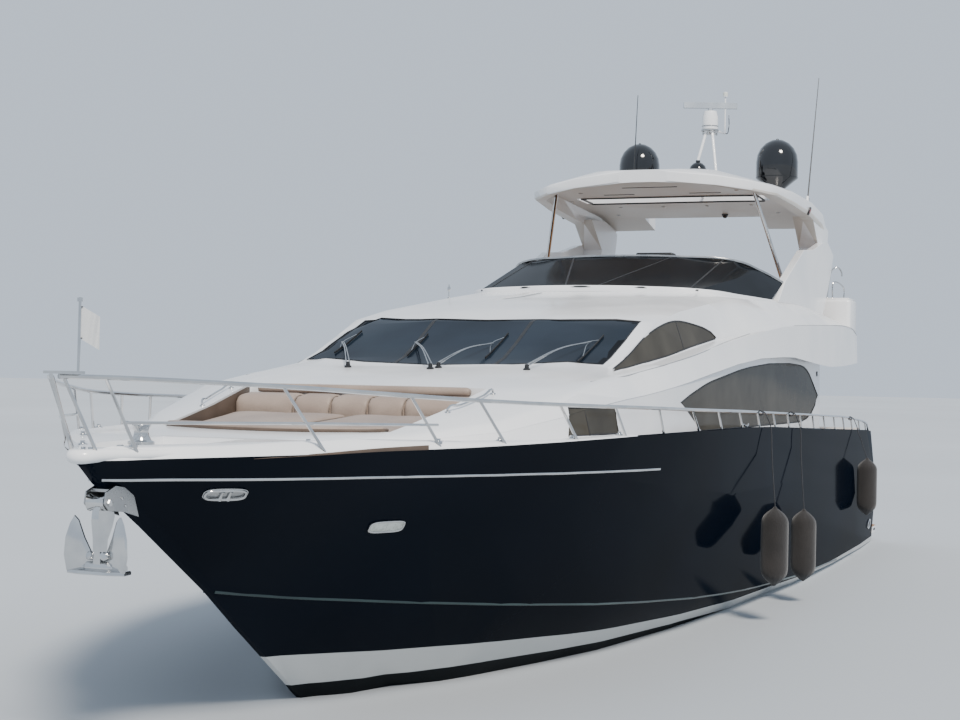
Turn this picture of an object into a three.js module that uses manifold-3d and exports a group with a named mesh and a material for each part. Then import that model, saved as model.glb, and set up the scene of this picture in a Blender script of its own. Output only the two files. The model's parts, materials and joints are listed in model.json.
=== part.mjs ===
// A 24 metre motor yacht with a flybridge. Millimetres, +X forward, +Y to port, +Z up.
// The origin is on the waterline, amidships, on the centreline.
import * as THREE from 'three';
import { mergeVertices } from 'three/addons/utils/BufferGeometryUtils.js';
import Module from 'manifold-3d';

const wasm = await Module();
wasm.setup();

// Driving dimensions
const GAP = 0.3;                 // between pieces that touch
const CLEARANCE = 8;             // round doors and lids
const TRANSOM_X = -11500;        // at the waterline
const TRANSOM_RAKE = 0.265;      // forward run for each unit of height
const MAIN_DECK_Z = 1750;
const DECK_THICKNESS = 30;
const BULWARK_WIDTH = 110;
const FOREDECK_END_X = 6780;
const WALL = 50;
const GLASS = 12;
const FLY_FLOOR_Z = 3840;
const PORT = 1;
const STARBOARD = -1;
const SIDES = [['port', PORT], ['starboard', STARBOARD]];

// Colours and finishes
const paint = (color, roughness = 0.3, metalness = 0) => new THREE.MeshStandardMaterial({ color, roughness, metalness });
const NAVY = paint(0x0b1019, 0.12);
const GELCOAT = paint(0xf0f1f3, 0.25);
const TEAK = paint(0x8a6a4c, 0.7);
const TINTED = paint(0x20262c, 0.05);
const STEEL = paint(0xd0d3d6, 0.15, 1);
const CUSHION = paint(0xa08c7a, 0.85);
const DARK_CUSHION = paint(0x4a4440, 0.85);
const BLACK = paint(0x0c0d10, 0.25);
const FENDER = paint(0x2c2b2c, 0.9);
const BRONZE = paint(0xb08d4a, 0.35, 1);
const ENGINE = paint(0xc9ccd0, 0.5, 0.3);

const yacht = new THREE.Group();

function add(name, geometry, material) {
  const mesh = new THREE.Mesh(geometry, material);
  mesh.name = name;
  yacht.add(mesh);
  return mesh;
}

// Solids

function solid(geometry) {
  const bare = geometry.clone();
  bare.deleteAttribute('normal');
  bare.deleteAttribute('uv');
  const merged = mergeVertices(bare, 1e-3);
  return new wasm.Manifold(new wasm.Mesh({
    numProp: 3,
    vertProperties: Float32Array.from(merged.attributes.position.array),
    triVerts: Uint32Array.from(merged.index.array),
  }));
}

function geometryOf(manifold) {
  const mesh = manifold.getMesh();
  const geometry = new THREE.BufferGeometry();
  geometry.setAttribute('position', new THREE.BufferAttribute(new Float32Array(mesh.vertProperties), 3));
  geometry.setIndex(new THREE.BufferAttribute(new Uint32Array(mesh.triVerts), 1));
  return geometry;
}

const join = (...manifolds) => manifolds.reduce((whole, piece) => whole.add(piece));
const cut = (whole, ...tools) => tools.reduce((left, tool) => left.subtract(tool), whole);

// A box between two corners
function box(x0, y0, z0, x1, y1, z1) {
  const geometry = new THREE.BoxGeometry(x1 - x0, y1 - y0, z1 - z0);
  geometry.translate((x0 + x1) / 2, (y0 + y1) / 2, (z0 + z1) / 2);
  return solid(geometry);
}

// A closed skin over rings of equal length. The ends are planar across X, or else convex and fanned.
function loft(rings, fanned = false) {
  const count = rings[0].length;
  const positions = rings.flat().flatMap(([x, y, z]) => [x, y, z]);
  const faces = [];
  for (let station = 0; station < rings.length - 1; station += 1) {
    for (let i = 0; i < count; i += 1) {
      const a = station * count + i;
      const b = station * count + ((i + 1) % count);
      faces.push(a, b, a + count, b, b + count, a + count);
    }
  }
  const last = (rings.length - 1) * count;
  const fan = (ring) => ring.slice(2).map((_, i) => [0, i + 1, i + 2]);
  const planar = (ring) => THREE.ShapeUtils.triangulateShape(ring.map(([, y, z]) => new THREE.Vector2(y, z)), []);
  const cap = fanned ? fan : planar;
  cap(rings[0]).forEach(([a, b, c]) => faces.push(c, b, a));
  cap(rings[rings.length - 1]).forEach(([a, b, c]) => faces.push(last + a, last + b, last + c));
  const geometry = new THREE.BufferGeometry();
  geometry.setAttribute('position', new THREE.Float32BufferAttribute(positions, 3));
  geometry.setIndex(faces);
  return solid(facingOut(geometry));
}

// Turns every face of a closed mesh round if it encloses a negative volume
function facingOut(geometry) {
  const [a, b, c] = [new THREE.Vector3(), new THREE.Vector3(), new THREE.Vector3()];
  const { position } = geometry.attributes;
  const { index } = geometry;
  let volume = 0;
  for (let i = 0; i < index.count; i += 3) {
    a.fromBufferAttribute(position, index.getX(i));
    b.fromBufferAttribute(position, index.getX(i + 1));
    c.fromBufferAttribute(position, index.getX(i + 2));
    volume += a.dot(b.cross(c));
  }
  if (volume < 0) {
    const turned = [];
    for (let i = 0; i < index.count; i += 3) turned.push(index.getX(i), index.getX(i + 2), index.getX(i + 1));
    geometry.setIndex(turned);
  }
  return geometry;
}

// The port half of a section, from the keel or floor up, with its mirror image
function bothSides(x, half) {
  const port = half.map(([y, z, dx = 0]) => [x + dx, y, z]);
  const starboard = half.filter(([y]) => y > 0).reverse().map(([y, z, dx = 0]) => [x + dx, -y, z]);
  return [...port, ...starboard];
}

// An outline in the X-Z plane, given a thickness from y0 to y1
function sidePlate(shape, y0, y1, curveSegments = 8) {
  const geometry = new THREE.ExtrudeGeometry(shape, { depth: y1 - y0, bevelEnabled: false, curveSegments });
  geometry.rotateX(Math.PI / 2);
  geometry.translate(0, y1, 0);
  return solid(geometry);
}

// An outline in the X-Y plane, given a thickness from z0 to z1
function floorPlate(shape, z0, z1, curveSegments = 8) {
  const geometry = new THREE.ExtrudeGeometry(shape, { depth: z1 - z0, bevelEnabled: false, curveSegments });
  geometry.translate(0, 0, z0);
  return solid(geometry);
}

// A copy of a geometry's solid, moved
const moved = (geometry, [x, y, z]) => solid(geometry.clone().translate(x, y, z));

const polygon = (points) => new THREE.Shape(points.map(([u, v]) => new THREE.Vector2(u, v)));
const at = ([x, y, z]) => new THREE.Vector3(x, y, z);

// A round bar, or a cone, from one point to another
function rod(from, to, radius, sides = 8, endRadius = radius) {
  const [start, end] = [at(from), at(to)];
  const length = start.distanceTo(end);
  const geometry = new THREE.CylinderGeometry(endRadius, radius, length, sides);
  geometry.translate(0, length / 2, 0);
  const turn = new THREE.Quaternion().setFromUnitVectors(new THREE.Vector3(0, 1, 0), end.sub(start).normalize());
  geometry.applyQuaternion(turn);
  geometry.translate(...from);
  return solid(geometry);
}

// A round bar bent along a smooth curve through its points
function bentTube(points, radius, steps, sides = 8) {
  const curve = new THREE.CatmullRomCurve3(points.map(at), false, 'centripetal');
  const round = new THREE.Shape(Array.from({ length: sides }, (_, i) => {
    const angle = (2 * Math.PI * i) / sides;
    return new THREE.Vector2(radius * Math.cos(angle), radius * Math.sin(angle));
  }));
  return solid(facingOut(mergedIndexed(new THREE.ExtrudeGeometry(round, { steps, extrudePath: curve }))));
}

function mergedIndexed(geometry) {
  geometry.deleteAttribute('normal');
  geometry.deleteAttribute('uv');
  return mergeVertices(geometry, 1e-3);
}

// A turned piece about the Z axis, from a profile of radius and height
function turned(profile, [x, y, z], segments = 20) {
  const geometry = new THREE.LatheGeometry(profile.map(([r, h]) => new THREE.Vector2(r, h)), segments);
  geometry.rotateX(Math.PI / 2);
  geometry.translate(x, y, z);
  return solid(facingOut(mergedIndexed(geometry)));
}

// The height between two rows of a table, by straight interpolation in x
function between(table, x, column) {
  const row = table.findIndex((entry) => entry.x <= x);
  if (row <= 0) return table[row === 0 ? 0 : table.length - 1][column];
  const [ahead, behind] = [table[row - 1], table[row]];
  return behind[column] + ((ahead[column] - behind[column]) * (x - behind.x)) / (ahead.x - behind.x);
}

const rows = (columns, table) => table.map((row) => Object.fromEntries(columns.map((name, i) => [name, row[i]])));

// Hull

const HULL = rows(['x', 'keelZ', 'bilgeY', 'bilgeZ', 'waterY', 'waterZ', 'chineY', 'chineZ', 'sideY', 'sideZ', 'sheerY', 'sheerZ', 'deckZ'], [
  [12360, 2385, 34, 2390, 38, 2395, 44, 2400, 60, 2408, 90, 2428, 2412],
  [12180, 2245, 45, 2262, 52, 2276, 60, 2292, 110, 2345, 240, 2430, 2380],
  [11950, 2120, 50, 2150, 58, 2180, 70, 2200, 170, 2300, 350, 2435, 2365],
  [11500, 1860, 50, 1890, 60, 1930, 75, 1970, 330, 2200, 690, 2445, 2295],
  [11000, 1560, 50, 1600, 60, 1640, 80, 1680, 560, 2060, 1110, 2460, 2310],
  [10450, 1220, 50, 1240, 60, 1260, 80, 1290, 680, 1890, 1480, 2480, 2330],
  [9900, 840, 70, 940, 150, 1060, 240, 1200, 860, 1850, 1775, 2492, 2340],
  [9400, 510, 120, 680, 280, 900, 500, 1170, 1130, 1840, 2010, 2502, 2350],
  [8870, 160, 170, 330, 440, 680, 790, 1120, 1400, 1810, 2250, 2518, 2365],
  [8200, -300, 300, -60, 620, 340, 1160, 1050, 1740, 1780, 2480, 2535, 2385],
  [7200, -600, 450, -300, 870, 0, 1600, 910, 2130, 1730, 2750, 2560, 2410],
  [FOREDECK_END_X + 0.5, -700, 560, -370, 1040, 0, 1750, 860, 2250, 1710, 2820, 2568, 2418],
  [FOREDECK_END_X, -700, 560, -370, 1040, 0, 1750, 860, 2250, 1710, 2820, 2568, 2130],
  [5590, -860, 900, -430, 1430, 0, 2070, 730, 2510, 1670, 2985, 2580, 2010],
  [4490, -930, 1200, -430, 1730, 0, 2230, 630, 2670, 1620, 3040, 2582, 1900],
  [2550, -980, 1500, -420, 2040, 0, 2450, 480, 2830, 1540, 3055, 2580, MAIN_DECK_Z],
  [320, -1000, 1650, -410, 2260, -20, 2600, 330, 2930, 1440, 3035, 2545, MAIN_DECK_Z],
  [-3230, -960, 1750, -430, 2440, -90, 2720, 150, 2970, 1300, 2970, 2435, MAIN_DECK_Z],
  [-6500, -880, 1700, -430, 2440, -150, 2740, 80, 2930, 1230, 2890, 2365, MAIN_DECK_Z],
  [-9670, -760, 1600, -400, 2420, -170, 2710, 40, 2840, 1180, 2780, 2295, MAIN_DECK_Z],
  [TRANSOM_X, -640, 1560, -340, 2380, -150, 2650, 20, 2760, 1140, 2690, 2250, MAIN_DECK_Z],
]);

// The foredeck's bed is a shallow trough, and the main deck is flat
const NOSE_X = 12200;
const rimDepth = (x) => (x > NOSE_X ? 15 : 50);
const deckEdgeZ = ({ x, sheerZ, deckZ }) => (x > FOREDECK_END_X ? sheerZ - rimDepth(x) : deckZ + 2);

// The bulwark's inner face stands a bulwark's width inside the flared side
const wallOf = ({ sheerY }) => Math.min(BULWARK_WIDTH, sheerY * 0.4);
function innerFoot(row) {
  const { x, sideY, sideZ, sheerY, sheerZ, deckZ } = row;
  if (x > FOREDECK_END_X) return sheerY - wallOf(row);
  const outer = sideY + ((sheerY - sideY) * (deckZ - sideZ)) / (sheerZ - sideZ);
  return Math.min(sheerY, outer) - BULWARK_WIDTH;
}

// The transom leans forward above the waterline
function hullRing(row) {
  const { x, keelZ, bilgeY, bilgeZ, waterY, waterZ, chineY, chineZ, sideY, sideZ, sheerY, sheerZ, deckZ } = row;
  const lean = (z) => (x === TRANSOM_X ? TRANSOM_RAKE * Math.max(z, 0) : 0);
  const foot = innerFoot(row);
  const half = [
    [30, keelZ], [bilgeY, bilgeZ], [waterY, waterZ], [chineY, chineZ], [sideY, sideZ], [sheerY, sheerZ],
    [sheerY - wallOf(row), sheerZ], [foot, deckEdgeZ(row)], [foot * 0.7, deckZ],
  ];
  return bothSides(x, half.map(([y, z]) => [y, z, lean(z)]));
}
const lifted = (rings, rise = GAP) => rings.map((ring) => ring.map(([x, y, z]) => [x, y, z + rise]));
const transomAt = (z) => TRANSOM_X + TRANSOM_RAKE * z;
const hullRings = HULL.map(hullRing);
const hullShell = loft(hullRings);
const hullTop = loft(lifted(hullRings));

// Garage, engine room and the doorway between them; stair wells beside the garage
const GARAGE = { x: -8700, y: 1400, z0: 340, z1: 1540 };
const ENGINE_ROOM = { x0: -8350, x1: -5200, y: 1560, z0: -280, z1: 1500 };
const DOORWAY = { y: 350, z0: 400, z1: 1400 };
const GARAGE_DOOR = { z0: GARAGE.z0 + CLEARANCE, z1: GARAGE.z1 - CLEARANCE, half: GARAGE.y - CLEARANCE, thick: 60 };
const GARAGE_HINGE = { z: GARAGE_DOOR.z1 - 34, depth: 20, pin: 12, reach: 20 };
const garagePin = (reach, radius) => {
  const x = transomAt(GARAGE_HINGE.z) + GARAGE_HINGE.depth;
  return rod([x, -GARAGE.y - reach, GARAGE_HINGE.z], [x, GARAGE.y + reach, GARAGE_HINGE.z], radius, 12);
};
const WELL = { y0: 1560, y1: 2480, x: -9950, steps: 5, floor: 330 };
const stepRise = (MAIN_DECK_Z - WELL.floor) / WELL.steps;
const stepRun = 300;

function stairWell(side) {
  const pieces = Array.from({ length: WELL.steps }, (_, i) => {
    const front = WELL.x - i * stepRun;
    const top = MAIN_DECK_Z + 900;
    const floor = MAIN_DECK_Z - (i + 1) * stepRise;
    const [y0, y1] = side > 0 ? [WELL.y0, WELL.y1] : [-WELL.y1, -WELL.y0];
    return box(TRANSOM_X - 500, y0, floor, front, y1, top);
  });
  return join(...pieces);
}

// Rudder stocks and the anchor locker
const RUDDER = { x: -10800, y: 1150, stock: 40, top: -300, bladeTop: -560, bladeBottom: -1380 };
const LOCKER = { x0: 10740, x1: 11340, y: 230, floor: 2150, lid: 28, ledge: 30 };
const sideRudderY = (side) => side * RUDDER.y;
const stockHole = (side) => rod([RUDDER.x, sideRudderY(side), -1000], [RUDDER.x, sideRudderY(side), RUDDER.top + 1], RUDDER.stock + 3 * GAP, 16);

// The side decks' room, from which the bulwarks stand as pieces of their own
const besideDecks = HULL.filter(({ x }) => x <= FOREDECK_END_X).map((row) => [row.x, deckEdgeZ(row)]);
const underSideDecks = loft([...besideDecks, [TRANSOM_X - 2000, MAIN_DECK_Z + 2]].map(([x, z]) => bothSides(x, [[4000, -2000], [4000, z]])));
const bulwarkRoom = box(TRANSOM_X - 500, -3500, 1000, FOREDECK_END_X, 3500, 3500);
const hull = cut(
  hullShell,
  cut(bulwarkRoom, underSideDecks),
  box(TRANSOM_X - 500, -GARAGE.y, GARAGE.z0, GARAGE.x, GARAGE.y, GARAGE.z1),
  box(ENGINE_ROOM.x0, -ENGINE_ROOM.y, ENGINE_ROOM.z0, ENGINE_ROOM.x1, ENGINE_ROOM.y, ENGINE_ROOM.z1),
  box(GARAGE.x - 10, -DOORWAY.y, DOORWAY.z0, ENGINE_ROOM.x0 + 10, DOORWAY.y, DOORWAY.z1),
  stairWell(PORT),
  stairWell(STARBOARD),
  stockHole(PORT),
  stockHole(STARBOARD),
  garagePin(GARAGE_HINGE.reach + 1, GARAGE_HINGE.pin + 2.5 * GAP),
  box(LOCKER.x0, -LOCKER.y, LOCKER.floor, LOCKER.x1, LOCKER.y, 3000),
);
add('hull', geometryOf(hull), NAVY);
SIDES.forEach(([label, side]) => {
  const half = box(TRANSOM_X - 500, Math.min(0, side * 3500), 1000, FOREDECK_END_X - GAP, Math.max(0, side * 3500), 3500);
  const bulwark = cut(hullShell.intersect(half), underSideDecks.translate([0, 0, GAP]));
  add(`bulwark_${label}`, geometryOf(bulwark), NAVY);
});

// Foredeck: a moulding that fills the bow between the bulwarks and rolls over their tops. The toe stands
// above the sheer by toe, and the deck inside it by deck.
const FOREDECK = HULL.filter(({ x }) => x > FOREDECK_END_X);
const MOULDING = rows(['x', 'toe', 'deck'], [
  [12360, 70, 60],
  [12180, 108, 90],
  [10500, 112, 84],
  [9400, 60, 15],
  [8300, 24, -33],
  [FOREDECK_END_X, 20, -35],
]);
const foredeckRing = (row) => {
  const { x, sheerY, sheerZ, deckZ } = row;
  const wall = wallOf(row);
  const inside = sheerY - wall - 2;
  const [toe, deck] = [between(MOULDING, x, 'toe'), between(MOULDING, x, 'deck')];
  return bothSides(x, [
    [inside * 0.7, deckZ + GAP], [inside, deckEdgeZ(row) + GAP], [inside, sheerZ + GAP], [sheerY, sheerZ + GAP],
    [sheerY - 2, sheerZ + 10], [sheerY - wall * 0.35, sheerZ + toe * 0.75], [sheerY - wall, sheerZ + toe],
    [inside - wall * 0.5, sheerZ + deck],
  ]);
};

// The anchor well is let into the foredeck behind the nose
const ANCHOR_WELL = { floor: 2440, x0: 10560, x1: 12080, halfBack: 400, halfFront: 90 };
const anchorWell = floorPlate(polygon([
  [ANCHOR_WELL.x0, -ANCHOR_WELL.halfBack], [ANCHOR_WELL.x1 - 500, -ANCHOR_WELL.halfBack], [ANCHOR_WELL.x1, -ANCHOR_WELL.halfFront],
  [ANCHOR_WELL.x1, ANCHOR_WELL.halfFront], [ANCHOR_WELL.x1 - 500, ANCHOR_WELL.halfBack], [ANCHOR_WELL.x0, ANCHOR_WELL.halfBack],
]), ANCHOR_WELL.floor, 3000);
const lockerWell = box(LOCKER.x0, -LOCKER.y, LOCKER.floor, LOCKER.x1, LOCKER.y, 3000);

// The sunpad lies in a well cut into the coachroof and the foredeck
const SUNPAD = { front: 9260, back: 7300, halfFront: 1160, halfBack: 1330, bolster: 420 };
const padFloor = (x) => 2470 + ((SUNPAD.front - x) / (SUNPAD.front - SUNPAD.back)) * 190;
const padHalf = (x) => SUNPAD.halfBack + ((x - SUNPAD.back) / (SUNPAD.front - SUNPAD.back)) * (SUNPAD.halfFront - SUNPAD.halfBack);
function padSlab(x0, x1, inset, lift0, lift1) {
  const ring = (x) => {
    const [half, floor] = [padHalf(x) - inset, padFloor(x)];
    return [[x, half, floor + lift0], [x, half, floor + lift1], [x, -half, floor + lift1], [x, -half, floor + lift0]];
  };
  return loft([ring(x1), ring(x0)]);
}
const padWell = padSlab(SUNPAD.back - 30, SUNPAD.front + 30, -30, 0, 900);
const foredeckRings = FOREDECK.map(foredeckRing);
add('foredeck', geometryOf(cut(loft(foredeckRings), hullTop, anchorWell, lockerWell, padWell)), GELCOAT);

// Main deck: teak over the hull, from the foredeck's step to the stair wells
const MAIN_DECK = HULL.filter(({ x }) => x <= FOREDECK_END_X && x > TRANSOM_X);
const DECK_MARGIN = 3;
const deckRing = (row) => {
  const edge = innerFoot(row) - DECK_MARGIN;
  return bothSides(row.x, [[edge, row.deckZ - 10], [edge, row.deckZ + DECK_THICKNESS]]);
};
const COCKPIT_END_X = WELL.x + 60;
const sternRow = Object.fromEntries(Object.keys(HULL[0]).map((name) => [name, between(HULL, COCKPIT_END_X, name)]));
const mainDeckRings = [
  ...MAIN_DECK.filter(({ x }) => x > COCKPIT_END_X).map((row) => deckRing(row.x === FOREDECK_END_X ? { ...row, x: row.x - 2 } : row)),
  deckRing({ ...sternRow, x: COCKPIT_END_X, sheerY: sternRow.sheerY - 8 }),
];
add('main_deck', geometryOf(cut(loft(mainDeckRings), hullTop)), TEAK);
const DECK_TOP = MAIN_DECK_Z + DECK_THICKNESS;

// Superstructure. Each half section runs up from the deck: the wall's foot, the lower edge of the moulded
// band, the band's crease, the shoulder and the roof, whose crown follows the windscreen and the brow.
const HOUSE = rows(['x', 'footY', 'footZ', 'beltY', 'beltZ', 'creaseY', 'creaseZ', 'upperY', 'upperZ', 'shoulderY', 'shoulderZ', 'crownZ'], [
  [10500, 500, 2480, 480, 2496, 460, 2510, 440, 2522, 400, 2536, 2548],
  [9900, 1060, 2505, 1030, 2520, 1000, 2536, 960, 2548, 900, 2566, 2584],
  [9300, 1480, 2515, 1450, 2545, 1420, 2568, 1370, 2585, 1280, 2606, 2628],
  [8300, 2010, 2520, 1950, 2620, 1900, 2690, 1830, 2715, 1560, 2764, 2806],
  [7300, 2250, 2530, 2190, 2750, 2130, 2870, 2040, 2900, 1740, 2975, 3030],
  [FOREDECK_END_X - 0.1, 2330, 2560, 2260, 2820, 2190, 2990, 2090, 3015, 1800, 3050, 3115],
  [FOREDECK_END_X - 0.3, 2330, 2170, 2260, 2820, 2190, 2990, 2090, 3015, 1800, 3050, 3115],
  [5600, 2440, 2060, 2370, 2930, 2230, 3140, 2090, 3165, 1900, 3195, 3245],
  [5000, 2460, 2010, 2400, 2970, 2230, 3170, 2070, 3200, 1950, 3270, 3375],
  [4500, 2470, 1960, 2420, 3010, 2250, 3235, 2070, 3262, 1980, 3400, 3560],
  [3800, 2480, 1900, 2440, 3070, 2280, 3310, 2110, 3337, 2010, 3640, 3850],
  [3200, 2480, 1860, 2460, 3130, 2320, 3390, 2150, 3417, 2030, 3860, 3960],
  [2200, 2470, 1810, 2490, 3240, 2380, 3530, 2220, 3557, 2060, 4030, 4130],
  [800, 2460, 1810, 2540, 3390, 2470, 3710, 2310, 3740, 2110, 4200, 4320],
  [-460, 2450, 1810, 2590, 3490, 2540, 3850, 2400, 3895, 2140, 4330, 4470],
  [-1900, 2440, 1810, 2640, 3540, 2620, 3990, 2530, 4050, 2180, 4400, 4520],
]);
const CABIN_ROWS = HOUSE.filter(({ x }) => x <= 8300);
const FOREDECK_FOOT = 2400;
const footOn = (x, footZ) => (footZ > FOREDECK_FOOT ? footZ - 40 : between(HULL, x, 'deckZ') + DECK_THICKNESS - 5);
const houseRing = (row, inset = 0) => {
  const { x, footY, footZ, beltY, beltZ, creaseY, creaseZ, upperY, upperZ, shoulderY, shoulderZ, crownZ } = row;
  const foot = footOn(x, footZ) - inset;
  const tuck = Math.min(1, (beltZ - foot) / 400) * Math.min(1, Math.max(0.15, (4200 - x) / 2500));
  return bothSides(x, [
    [footY - inset, foot], [Math.min(beltY - 40 * tuck, footY) - inset, beltZ - 30 * tuck], [beltY - inset, beltZ], [creaseY - inset, creaseZ],
    [upperY - inset, upperZ - inset * 0.5], [shoulderY - inset * 0.7, shoulderZ - inset],
    [shoulderY * 0.78, crownZ - (crownZ - shoulderZ) * 0.3 - inset], [shoulderY * 0.35, crownZ - (crownZ - shoulderZ) * 0.06 - inset],
  ]);
};

// The after part of the house, under the flybridge
const AFT_HOUSE = rows(['x', 'footY', 'topY', 'topZ'], [
  [-1900, 2440, 2440, 3690],
  [-4500, 2420, 2410, 3690],
  [-6700, 2380, 2360, 3690],
]);
const aftHouseRing = ({ x, footY, topY, topZ }, inset = 0) => bothSides(x, [
  [footY - inset, DECK_TOP - 5 - inset], [topY - inset, topZ - inset],
]);
const shellWith = (inset, endX) => join(
  loft((inset === 0 ? HOUSE : CABIN_ROWS).map((row) => houseRing(row, inset))),
  loft([{ ...AFT_HOUSE[0], x: AFT_HOUSE[0].x + 20 }, ...AFT_HOUSE.slice(1, -1), { ...AFT_HOUSE[2], x: endX }]
    .map((row) => aftHouseRing(row, inset))),
);
const houseOuter = shellWith(0, -6700);
const cabinLimit = box(-9000, -3000, 1700, 5300, 3000, 6000);
const houseInner = shellWith(WALL, -6700 + WALL).intersect(cabinLimit);
const floorCut = box(-6700 + WALL, -2330, 1700, 4300, 2330, 1900);

// Window outlines. The side windows are seen in the X-Z plane, the windscreen in plan.
function outline(start, pieces) {
  const shape = new THREE.Shape();
  shape.moveTo(...start);
  pieces.forEach(([kind, ...points]) => {
    if (kind === 'spline') shape.splineThru(points.map(([u, v]) => new THREE.Vector2(u, v)));
    else if (kind === 'curve') shape.quadraticCurveTo(...points.flat());
    else points.forEach(([u, v]) => shape.lineTo(u, v));
  });
  return shape;
}

// The same outline, drawn in by a margin all round
function drawnIn(shape, margin) {
  const points = shape.getPoints(4).filter((point, i, all) => i === 0 || (point.distanceTo(all[i - 1]) > 1 && point.distanceTo(all[0]) > 1));
  const inward = THREE.ShapeUtils.isClockWise(points) ? -1 : 1;
  const normal = (from, to) => new THREE.Vector2(from.y - to.y, to.x - from.x).normalize().multiplyScalar(inward);
  return new THREE.Shape(points.map((point, i) => {
    const before = normal(points[(i + points.length - 1) % points.length], point);
    const after = normal(point, points[(i + 1) % points.length]);
    const middle = before.clone().add(after).normalize();
    return point.clone().addScaledVector(middle, margin / Math.max(middle.dot(before), 0.4));
  }));
}
const archWindow = outline([4985, 3228], [
  ['spline', [4337, 3418], [3707, 3650], [3058, 3821], [2366, 3905], [1576, 3866], [1200, 3805]],
  ['line', [1060, 3740], [1130, 3712]],
  ['spline', [2223, 3572], [3051, 3450], [3945, 3345], [4985, 3228]],
]);
const saloonWindow = outline([3560, 2885], [
  ['spline', [2870, 3015], [1923, 3160], [32, 3335], [-1681, 3430], [-3300, 3465], [-4600, 3450]],
  ['curve', [-5300, 3430], [-5740, 3240]],
  ['line', [-6480, 2960]],
  ['curve', [-6000, 2560], [-4580, 2520]],
  ['line', [2500, 2520]],
]);
const forwardWindow = outline([7110, 2842], [['line', [5960, 2852], [5900, 2560], [7260, 2560]]]);
const SIDE_WINDOWS = [['arch_window', archWindow], ['saloon_window', saloonWindow], ['forward_window', forwardWindow]];
const windscreen = outline([4920, 1870], [
  ['curve', [6060, 0], [4920, -1870]],
  ['line', [3290, -1860]],
  ['curve', [4150, 0], [3290, 1860]],
]);
const skin = (inset, thickness) => cut(shellWith(inset, -6700 + inset), shellWith(inset + thickness, -6700 + inset + thickness));
const OUTSIDE = 20;
const WINDOW_DEPTH = WALL + 15;
const besides = (shape, side, from) => (side > 0 ? sidePlate(shape, from, 3200) : sidePlate(shape, -3200, -from));
const cutSkin = skin(-OUTSIDE, OUTSIDE + WINDOW_DEPTH);
const SIDE_FROM = 1900;
const windowCuts = SIDE_WINDOWS.flatMap(([, shape]) => SIDES.map(([, side]) => cutSkin.intersect(besides(drawnIn(shape, 0), side, SIDE_FROM))));
const windscreenCut = floorPlate(drawnIn(windscreen, 0), 3000, 4600);
const SALOON_DOOR = { half: 1500, z1: 3500 };
const doorCut = box(-6900, -SALOON_DOOR.half, DECK_TOP - 50, -6600, SALOON_DOOR.half, SALOON_DOOR.z1);
const foredeckRoom = join(loft(lifted(foredeckRings, -GAP)), loft(lifted(foredeckRings)));
const decks = [foredeckRoom, loft(lifted(mainDeckRings))];
const frontCuts = cut(houseOuter, hullTop, ...decks, padWell, box(ANCHOR_WELL.x0 - 150, -600, 2400, 13000, 600, 3000));
const superstructure = cut(frontCuts, houseInner, floorCut, windscreenCut, doorCut, ...windowCuts);

// Glass, set a little back from the outer surface
const GLASS_SETBACK = 6;
const GLASS_MARGIN = GAP;
const glassSkin = skin(GLASS_SETBACK, GLASS);
SIDE_WINDOWS.forEach(([name, shape]) => SIDES.forEach(([label, side]) => {
  add(`${name}_${label}`, geometryOf(glassSkin.intersect(besides(drawnIn(shape, GLASS_MARGIN), side, SIDE_FROM + GLASS_MARGIN))), TINTED);
}));
add('windscreen', geometryOf(glassSkin.intersect(floorPlate(drawnIn(windscreen, GLASS_MARGIN), 3000, 4600))), TINTED);

// Saloon doors in the after bulkhead: one fixed leaf, and one that slides across outside it
const DOOR = { bulkhead: -6700, thick: 30, lap: 60, rail: 20 };
const track = box(DOOR.bulkhead - 50, -SALOON_DOOR.half - 100, DECK_TOP + GAP, DOOR.bulkhead + 45, SALOON_DOOR.half + 100, DECK_TOP + DOOR.rail);
const header = box(DOOR.bulkhead - 60, -SALOON_DOOR.half - 100, SALOON_DOOR.z1, DOOR.bulkhead + 45, SALOON_DOOR.half + 100, SALOON_DOOR.z1 + 60);
add('superstructure', geometryOf(join(superstructure, track, header)), GELCOAT);
add('saloon_door_fixed', geometryOf(box(
  DOOR.bulkhead + 5, -SALOON_DOOR.half + 3, DECK_TOP + DOOR.rail + GAP, DOOR.bulkhead + 5 + DOOR.thick, DOOR.lap / 2, SALOON_DOOR.z1 - 1,
)), TINTED);
add('saloon_door_sliding', geometryOf(box(
  DOOR.bulkhead - 10 - DOOR.thick, -DOOR.lap / 2, DECK_TOP + DOOR.rail + GAP, DOOR.bulkhead - 10, SALOON_DOOR.half + 20, SALOON_DOOR.z1 - 1,
)), TINTED);

// Flybridge: floor, coaming and the after part of the moulded band
const FLY = rows(['x', 'beltY', 'beltZ', 'creaseY', 'creaseZ', 'topY', 'topZ', 'floorZ'], [
  [-1901, 2640, 3540, 2620, 3990, 2180, 4400, FLY_FLOOR_Z],
  [-2600, 2680, 3545, 2660, 4030, 2300, 4440, FLY_FLOOR_Z],
  [-4200, 2720, 3480, 2710, 4095, 2330, 4450, FLY_FLOOR_Z],
  [-5500, 2745, 3445, 2740, 4145, 2340, 4450, FLY_FLOOR_Z],
  [-6900, 2755, 3480, 2750, 4190, 2340, 4400, FLY_FLOOR_Z],
  [-8000, 2745, 3530, 2735, 4170, 2420, 4215, FLY_FLOOR_Z],
  [-8950, 2690, 3570, 2670, 4080, 2440, 4110, FLY_FLOOR_Z],
  [-8951, 2690, 3570, 2670, 4080, 2440, 4110, 4080],
  [-9180, 2560, 3620, 2540, 4040, 2380, 4060, 4040],
]);
const COAMING = 110;
const FLY_UNDERSIDE = 3690;
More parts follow.
